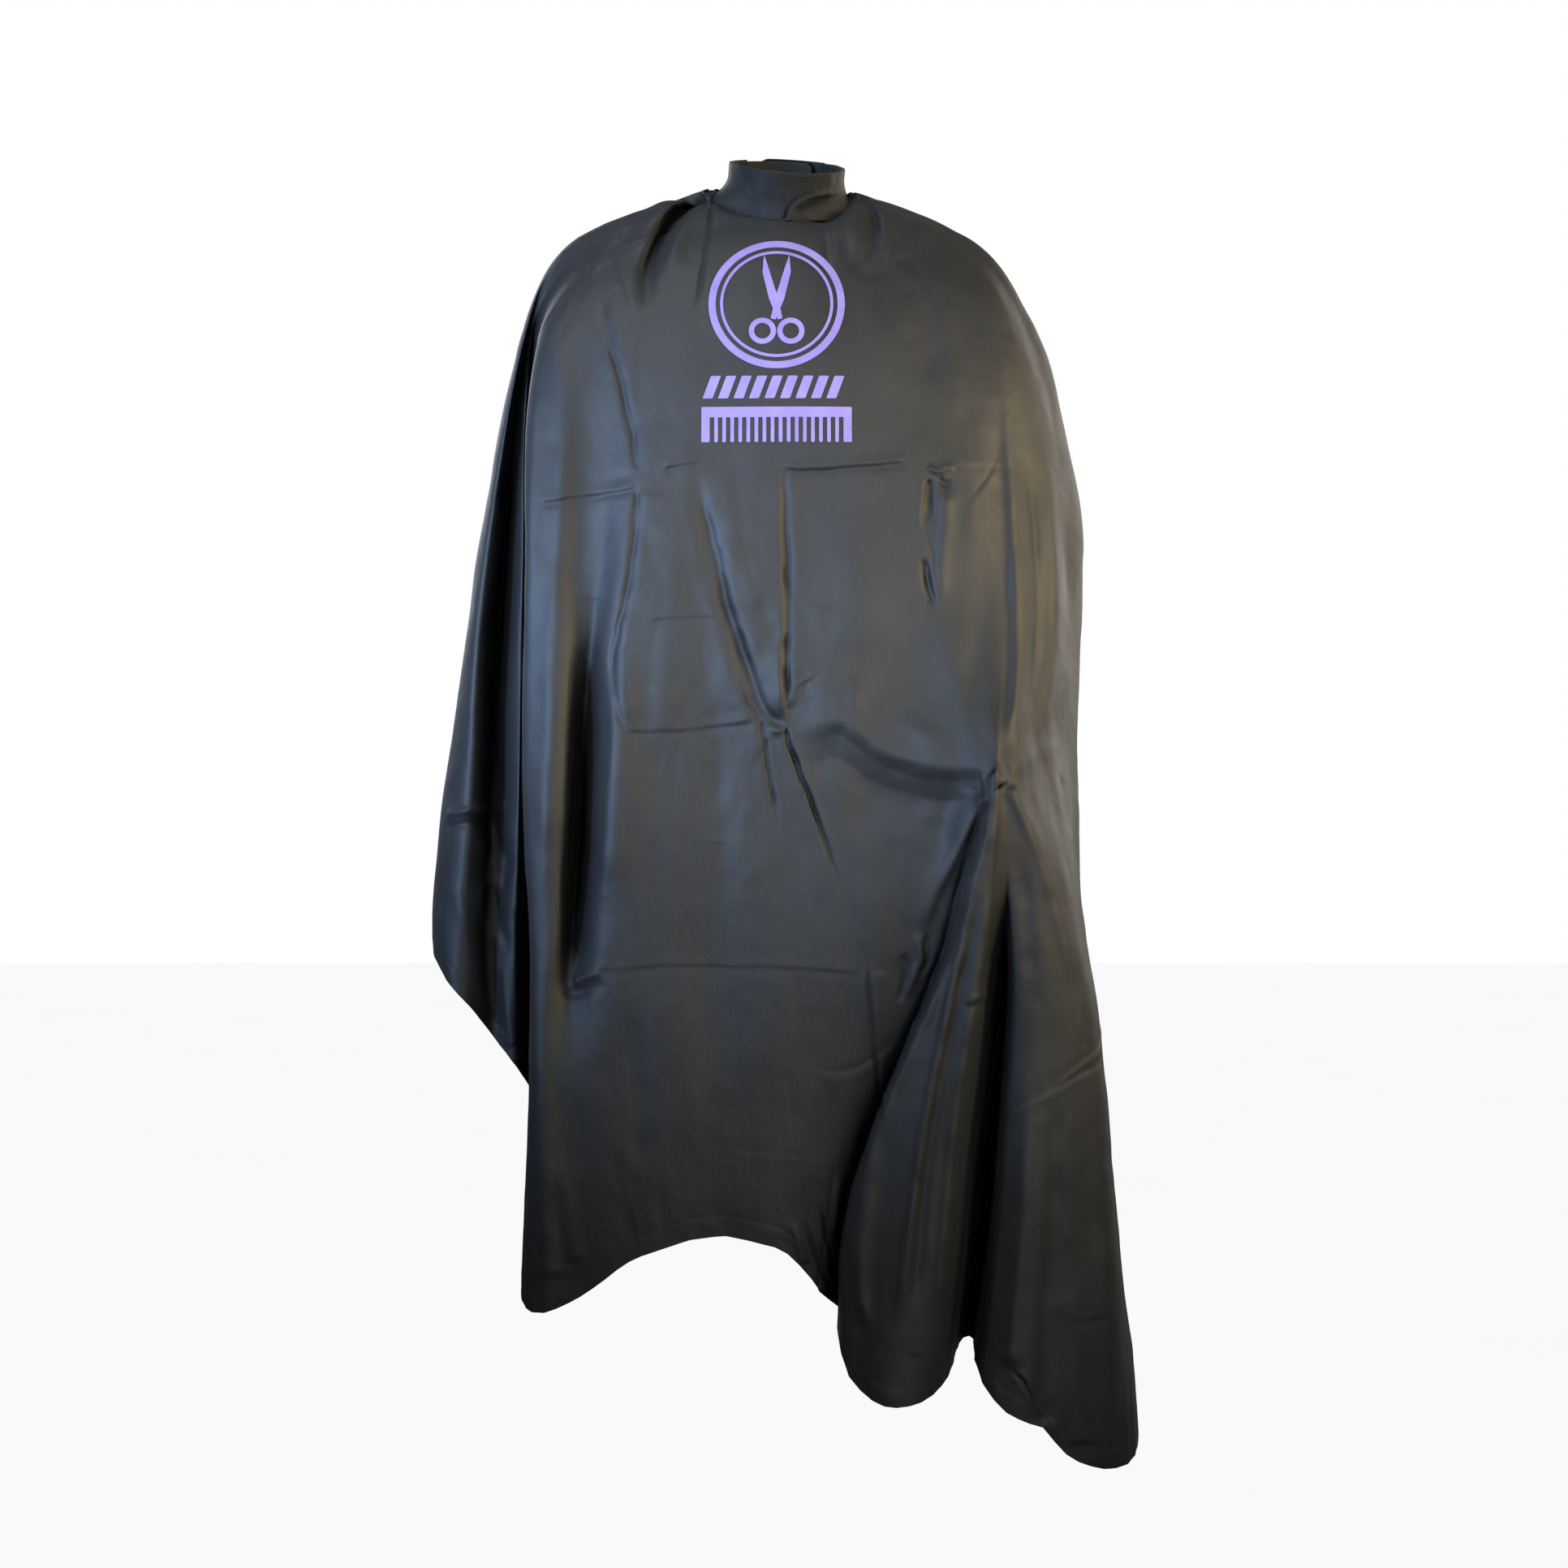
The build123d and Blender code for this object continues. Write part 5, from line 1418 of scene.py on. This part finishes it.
def chest_badge():
    points, faces = badge_outline()
    tree = grid_tree(cloth[col_of["front 1"] : col_of["right 2"] + 1, : int(ROWS * 0.45)])
    top, low = [], []
    for x, z in points:
        hit, normal, _, _ = tree.ray_cast(Vector((x, -400.0, z)), Vector((0, 1, 0)))
        if hit is None:                                 # beside the cloth: nearest point
            hit, normal, _, _ = tree.find_nearest(Vector((x, -100.0, z)))
        if normal.y > 0:
            normal = -normal
        top.append(np.array(hit) + np.array(normal) * 0.34)
        low.append(np.array(hit) + np.array(normal) * 0.06)
    n = len(points)
    edges = dict.fromkeys(edge for face in faces for edge in zip(face, face[1:] + face[:1]))
    walls = [(q, p, p + n, q + n) for p, q in edges if (q, p) not in edges]
    under = [[x + n for x in face[::-1]] for face in faces]
    attach(solid("chest_badge", top + low, faces + under + walls, INK), "print_ink",
           "chest_print")


chest_badge()

# ---------------------------------------------------------------------------
# neckband: a leaning ring with two overlapping closing tabs at the back
# ---------------------------------------------------------------------------
LEAN, ROLL = math.radians(17.0), math.radians(3.5)
BAND_OUT, BAND_IN = 57.0, 55.0       # radii
BAND_TOP = 21.0
BAND_LOW = -26.5                     # the band runs down to the seam
OUTER_HINGE, UNDER_HINGE = 45.0, 135.0                  # degrees from +X, towards +Y
HINGE_GAP = math.degrees(2.2 / BAND_OUT)
BAND_START, BAND_END = UNDER_HINGE + HINGE_GAP, 360 + OUTER_HINGE - HINGE_GAP


def tilt(points):
    """From the band's own frame to the row frame."""
    x, y, z = points[..., 0], points[..., 1], points[..., 2]
    y, z = (y * math.cos(LEAN) - z * math.sin(LEAN), y * math.sin(LEAN) + z * math.cos(LEAN))
    x, z = (x * math.cos(ROLL) + z * math.sin(ROLL), -x * math.sin(ROLL) + z * math.cos(ROLL))
    return np.stack([x, y, z], -1)


def band_solid(name, start, end, z0, z1, step, shift, tip=False):
    """Curved strap between two angles, softly rounded at its edges. shift(angle, share of
    height, outer face) gives the offsets in radius and z."""
    n = max(8, int(abs(end - start) / step))
    degrees = np.linspace(start, end, n + 1)
    mid_r, half_t = (BAND_IN + BAND_OUT) / 2, (BAND_OUT - BAND_IN) / 2
    t = np.linspace(0, 1, 30)
    t = 0.5 - 0.5 * np.cos(t * math.pi) * (0.4 + 0.6 * np.abs(np.cos(t * math.pi)))
    z = z0 + (z1 - z0) * t
    edge = np.clip(np.minimum(z - z0, z1 - z) / half_t, 0, 1)
    off = half_t * np.sqrt(np.maximum(0.0, 1 - (1 - edge) ** 2))
    # out and back, less the two points where the faces meet
    off = np.concatenate([off, -off[::-1][1:-1]])
    z = np.concatenate([z, z[::-1][1:-1]])
    m = len(z)
    angle, z = np.meshgrid(degrees, z, indexing="ij")
    off = np.repeat(off[None], n + 1, 0)
    dr, dz = shift(angle.ravel(), ((z - z0) / (z1 - z0)).ravel(), (off > 0).ravel())
    r = mid_r + off + dr.reshape(off.shape)
    z = z + dz.reshape(off.shape)
    if tip:                                             # rounded end
        u = np.clip(np.abs(degrees - end) * math.pi / 180 * mid_r / 9.0, 0, 1)
        height = 0.70 + 0.30 * np.sqrt(np.maximum(0.0, 1 - (1 - u) ** 2))
        mid_z = (z0 + z1) / 2
        z = mid_z + (z - mid_z) * height[:, None]
    a = np.radians(angle)
    verts = tilt(np.stack([r * np.cos(a), r * np.sin(a), z], -1)).reshape(-1, 3)
    faces = []
    for k in range(n):
        for j in range(m):
            p, q = k * m + j, k * m + (j + 1) % m
            faces.append((p, q, q + m, p + m))
    faces.append(tuple(range(m - 1, -1, -1)))
    faces.append(tuple(n * m + j for j in range(m)))
    ob = solid(name, verts, faces, BAND)
    for polygon in ob.data.polygons:
        if len(polygon.vertices) > 4:
            polygon.use_smooth = False
    return ob


def bell(x, centre, width, power=2):
    return np.exp(-(np.abs((x - centre) / width) ** power))


def tuck(degrees, t, outside):
    """How the band leaves a plain ring: it spreads towards the seam, puckers, and carries
    one slanting tuck at the front right. t is 0 at the lower edge, 1 at the top."""
    zero = np.zeros(len(degrees))
    west, east = bell(degrees, 184, 34.0, 2.6), bell(degrees, 358, 34.0, 2.6)
    spread = (11.4 * west + 8.0 * east) * np.clip((0.80 - t) / 0.46, 0, 1.25) ** 2.2
    spread += 2.6 * bell(degrees, 270, 70.0, 4) * np.clip((0.42 - t) / 0.42, 0, 1) ** 2.2
    at = np.c_[degrees, t * 44, zero]
    r = 0.55 * noise3(at, (15, 22, 9), seed=31) + 0.26 * noise3(at, (6, 10, 9), seed=32)
    # the tuck: a curved crease climbing to the right, the cloth lapped over on its right
    crease = np.interp(t, [0.0, 0.05, 0.27, 0.47, 0.58, 0.70],
                       [269.5, 271.0, 274.3, 283.0, 299.0, 322.0])
    d = (degrees - crease) * np.interp(t, [0.0, 0.3, 0.5, 0.62], [1.0, 0.95, 0.62, 0.30])
    lap = 3.0 * smooth(d / 1.6) * np.exp(-((np.maximum(d, 0) / 13) ** 2))
    r += smooth((0.66 - t) / 0.12) * (lap - 1.1 * bell(d, 0, 1.3))
    # a ridge and a hollow left of it
    r += 0.9 * bell(degrees, 250.0 - 16 * t, 5.0) * (1 - t)
    r -= 0.6 * bell(degrees, 232.0 - 10 * t, 5.0) * (1 - t)
    # the top edge waves, a little higher at the far left and dipping right of the middle
    dz = t * (0.8 * noise3(np.c_[degrees, zero + 3, zero], (26, 9, 9), seed=34) - 0.4)
    dz = dz + t * (1.8 * bell(degrees, 200, 24) - 1.2 * bell(degrees, 288, 26))
    return np.where(outside, np.maximum(r, -0.6), r * 0.7) + spread, dz


attach(band_solid("neckband", BAND_START, BAND_END, BAND_LOW, BAND_TOP, 0.7, tuck),
       "band_fabric", "neckband_shell", "neckband_interfacing", "neckband_lining")


def seam_roll():
    """A soft roll of doubled cloth that follows the cloth's top edge."""
    sections = 10
    out = normals[:, 0]
    centre = cloth[:, 0] + out * 0.1
    side = unit(np.cross(unit(np.gradient(centre, axis=0)), out))
    pucker = 1 + 0.22 * noise3(centre, (5, 5, 5), seed=52)
    verts = []
    for j in range(sections):
        a = 2 * math.pi * j / sections
        offset = out * (math.cos(a) * 0.85) + side * (math.sin(a) * 1.5)
        verts.append(centre + offset * pucker[:, None])
    faces = []
    for i in range(COLUMNS - 1):
        for j in range(sections):
            p, q = i * sections + j, i * sections + (j + 1) % sections
            faces.append((p, q, q + sections, p + sections))
    last = (COLUMNS - 1) * sections
    faces.append(tuple(range(sections)))
    faces.append(tuple(last + j for j in range(sections - 1, -1, -1)))
    ob = solid("neck_seam_roll", np.stack(verts, 1).reshape(-1, 3), faces, BINDING)
    attach(ob, "band_fabric", "neck_seam_binding")


seam_roll()


def band_stitches():
    start, end, z = BAND_START + 1, BAND_END - 1, BAND_TOP - 2.7
    degrees = np.linspace(start, end, max(4, int(abs(end - start) / 0.6)))
    t = np.full(len(degrees), (z - BAND_LOW) / (BAND_TOP - BAND_LOW))
    dr, dz = tuck(degrees, t, True)
    a = np.radians(degrees)
    path = np.stack([(BAND_OUT + dr) * np.cos(a), (BAND_OUT + dr) * np.sin(a), z + dz], -1)
    out = np.stack([np.cos(a), np.sin(a), a * 0], -1)
    row = stitches(tilt(path), tilt(out), pitch=2.9, length=2.2, width=0.5, height=0.34)
    attach(thread_rows("neckband_stitches", [row]), "thread", "neckband_stitching")


band_stitches()


def closing_tab(name, tip, rise, inset, hinge, way):
    """Tab from just inside the fixed band, across its hinge, to its tip; `way` is +1 where
    its angle grows, `rise` how far it stands off, `inset` how much lower than the band."""
    def shift(degrees, t, outside):
        along = (degrees - hinge) * way * math.pi / 180 * BAND_OUT
        pucker = noise3(np.c_[degrees, t * 20, degrees * 0 + 7.0], (6, 8, 9), seed=41)
        return rise * smooth((along - 1.0) / 9.0) + 0.2 * pucker, degrees * 0

    root = hinge - way * (HINGE_GAP + 0.4)
    ob = band_solid(f"closing_tab_{name}", root, tip, -BAND_TOP + inset, BAND_TOP - inset,
                    0.8, shift, tip=True)
    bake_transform(ob)
    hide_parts(*(f"{name}_tab_{layer}" for layer in ("shell", "interfacing", "lining")))


closing_tab("outer", tip=117.0, rise=5.0, inset=0.4, hinge=OUTER_HINGE, way=1)
closing_tab("under", tip=64.0, rise=0.0, inset=2.4, hinge=UNDER_HINGE, way=-1)

# snaps keep their CAD shape and get plated metal
for name in ("snap_caps", "snap_sockets", "snap_studs", "snap_posts"):
    materials = frame["nodes"][name].data.materials
    materials.clear()
    materials.append(METAL)


def care_label():
    """A tape inside the back, hanging a little away from it towards its lower edge."""
    across, down = 19, 17
    lo, hi = (np.array(corner) * 1000 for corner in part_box("care_label"))
    tree = grid_tree(inner[: col_of["left edge"]])
    face = np.zeros((across, down, 3))
    for i, x in enumerate(np.linspace(lo[0], hi[0], across)):
        for j, z in enumerate(np.linspace(hi[2], lo[2], down)):
            hit = tree.ray_cast(Vector((x, 0.0, z)), Vector((0, 1, 0)))[0]
            y = hit.y if hit is not None else hi[1]     # past the opening: the CAD face
            face[i, j] = (x, y - 3.0 * (j / (down - 1)) ** 1.5, z)
    ob = strip("care_tape", face - (0, 0.35, 0), face - (0, 0.75, 0), [True] * (across - 1),
               LABEL)
    attach(ob, "label_tape", "care_label")


care_label()


# ---------------------------------------------------------------------------
# stage, light and camera
# ---------------------------------------------------------------------------
def pale_floor():
    """Even and pale to the camera, with little bounce of its own."""
    color = (0.955, 0.955, 0.955)
    material, tree, shader = new_material("pale_floor")
    patch = texture(tree, "Noise", object_coords(tree), Scale=2.0, Detail=3.0)
    shade = ramp(tree, patch, [(0.3, tuple(x * 0.985 for x in color)), (0.7, color)])
    set_values(shader, Base_Color=(0.12, 0.12, 0.12, 1), Roughness=0.95, Specular_IOR_Level=0.0)
    glow = node(tree, "Emission", {"Color": shade}).outputs[0]
    to_camera = node(tree, "LightPath").outputs["Is Camera Ray"]
    mix = node(tree, "MixShader", {0: to_camera, 1: shader.outputs[0], 2: glow})
    feed(tree, tree.nodes["Material Output"], Surface=mix.outputs[0])
    return material


bpy.ops.mesh.primitive_grid_add(x_subdivisions=8, y_subdivisions=8, size=24,
                                location=(0, 0, cad_lo[2] - 0.24))
floor = bpy.context.active_object
floor.name = "floor"
floor.data.materials.append(pale_floor())


def studio_world():
    """White to the camera, a dim cool fill to everything else."""
    world = bpy.data.worlds.new("studio")
    bpy.context.scene.world = world
    world.use_nodes = True
    tree = world.node_tree
    seen = tree.nodes["Background"]
    set_values(seen, Color=(1, 1, 1, 1), Strength=1.0)
    to_camera = node(tree, "LightPath").outputs["Is Camera Ray"]
    fill = node(tree, "Background", Color=(0.95, 0.97, 1.0, 1), Strength=0.085)
    mix = node(tree, "MixShader", {0: to_camera, 1: fill.outputs[0], 2: seen.outputs[0]})
    feed(tree, tree.nodes["World Output"], Surface=mix.outputs[0])


def lamp(kind, name, location, target, power, color, **settings):
    data = bpy.data.lights.new(name, kind)
    data.energy = power
    data.color = color
    for key, value in settings.items():
        setattr(data, key, value)
    ob = bpy.data.objects.new(name, data)
    ob.location = location
    aim = Vector(target) - Vector(location)
    ob.rotation_euler = aim.to_track_quat("-Z", "Y").to_euler()
    bpy.context.scene.collection.objects.link(ob)


studio_world()
# name, location, target, power, colour, radius, cone in degrees
for *aimed, radius, cone in [
    ("window_left", (-2.7, -2.3, 0.05), (-0.22, -0.05, -0.36), 618, (0.36, 0.570, 1.0), 0.28, 19),
    ("window_wide", (-1.6, -3.2, 0.1), (0.0, -0.08, -0.40), 215, (0.80, 0.905, 1.0), 0.28, 17),
    ("warm_right", (3.1, -1.2, 0.45), (0.26, -0.05, -0.36), 465, (1.0, 0.79, 0.47), 0.45, 22),
    ("warm_chest", (1.6, -3.0, 0.35), (0.12, -0.05, -0.40), 295, (1.0, 0.91, 0.72), 0.50, 17),
    ("shoulder_top", (-1.0, -1.6, 2.2), (-0.18, -0.02, -0.10), 240, (0.96, 1.0, 1.0), 0.45, 18),
    ("low_right", (1.3, -3.2, -0.5), (0.23, -0.10, -1.05), 140, (1.0, 0.98, 0.95), 0.40, 14),
]:
    lamp("SPOT", *aimed, shadow_soft_size=radius, spot_size=math.radians(cone), spot_blend=1.0)
# name, location, target, power, colour, width, height
for *aimed, width, height in [
    ("fill_front", (0.2, -3.4, -0.5), (0, 0, -0.8), 2, (1.0, 0.98, 0.96), 2.2, 2.2),
    ("back_left", (-1.8, 2.4, 0.7), (0, 0, -0.5), 40, (0.86, 0.92, 1.0), 1.6, 1.8),
    ("back_right", (2.2, 2.0, 0.4), (0, 0, -0.5), 34, (1.0, 0.94, 0.86), 1.6, 1.8),
]:
    lamp("AREA", *aimed, shape="RECTANGLE", size=width, size_y=height)

scene = bpy.context.scene
camera_data = bpy.data.cameras.new("camera")
camera_data.sensor_width = 36.0
camera_data.lens = 36.0 * CAMERA_DIST / PLANE_SIZE
camera_data.clip_end = 100
camera = bpy.data.objects.new("camera", camera_data)
camera.location = (CAMERA_X * MM, -CAMERA_DIST * MM, CAMERA_Z * MM)
camera.rotation_euler = (math.radians(90), 0, 0)
scene.collection.objects.link(camera)
scene.camera = camera
scene.view_settings.view_transform = "Standard"
scene.view_settings.look = "None"
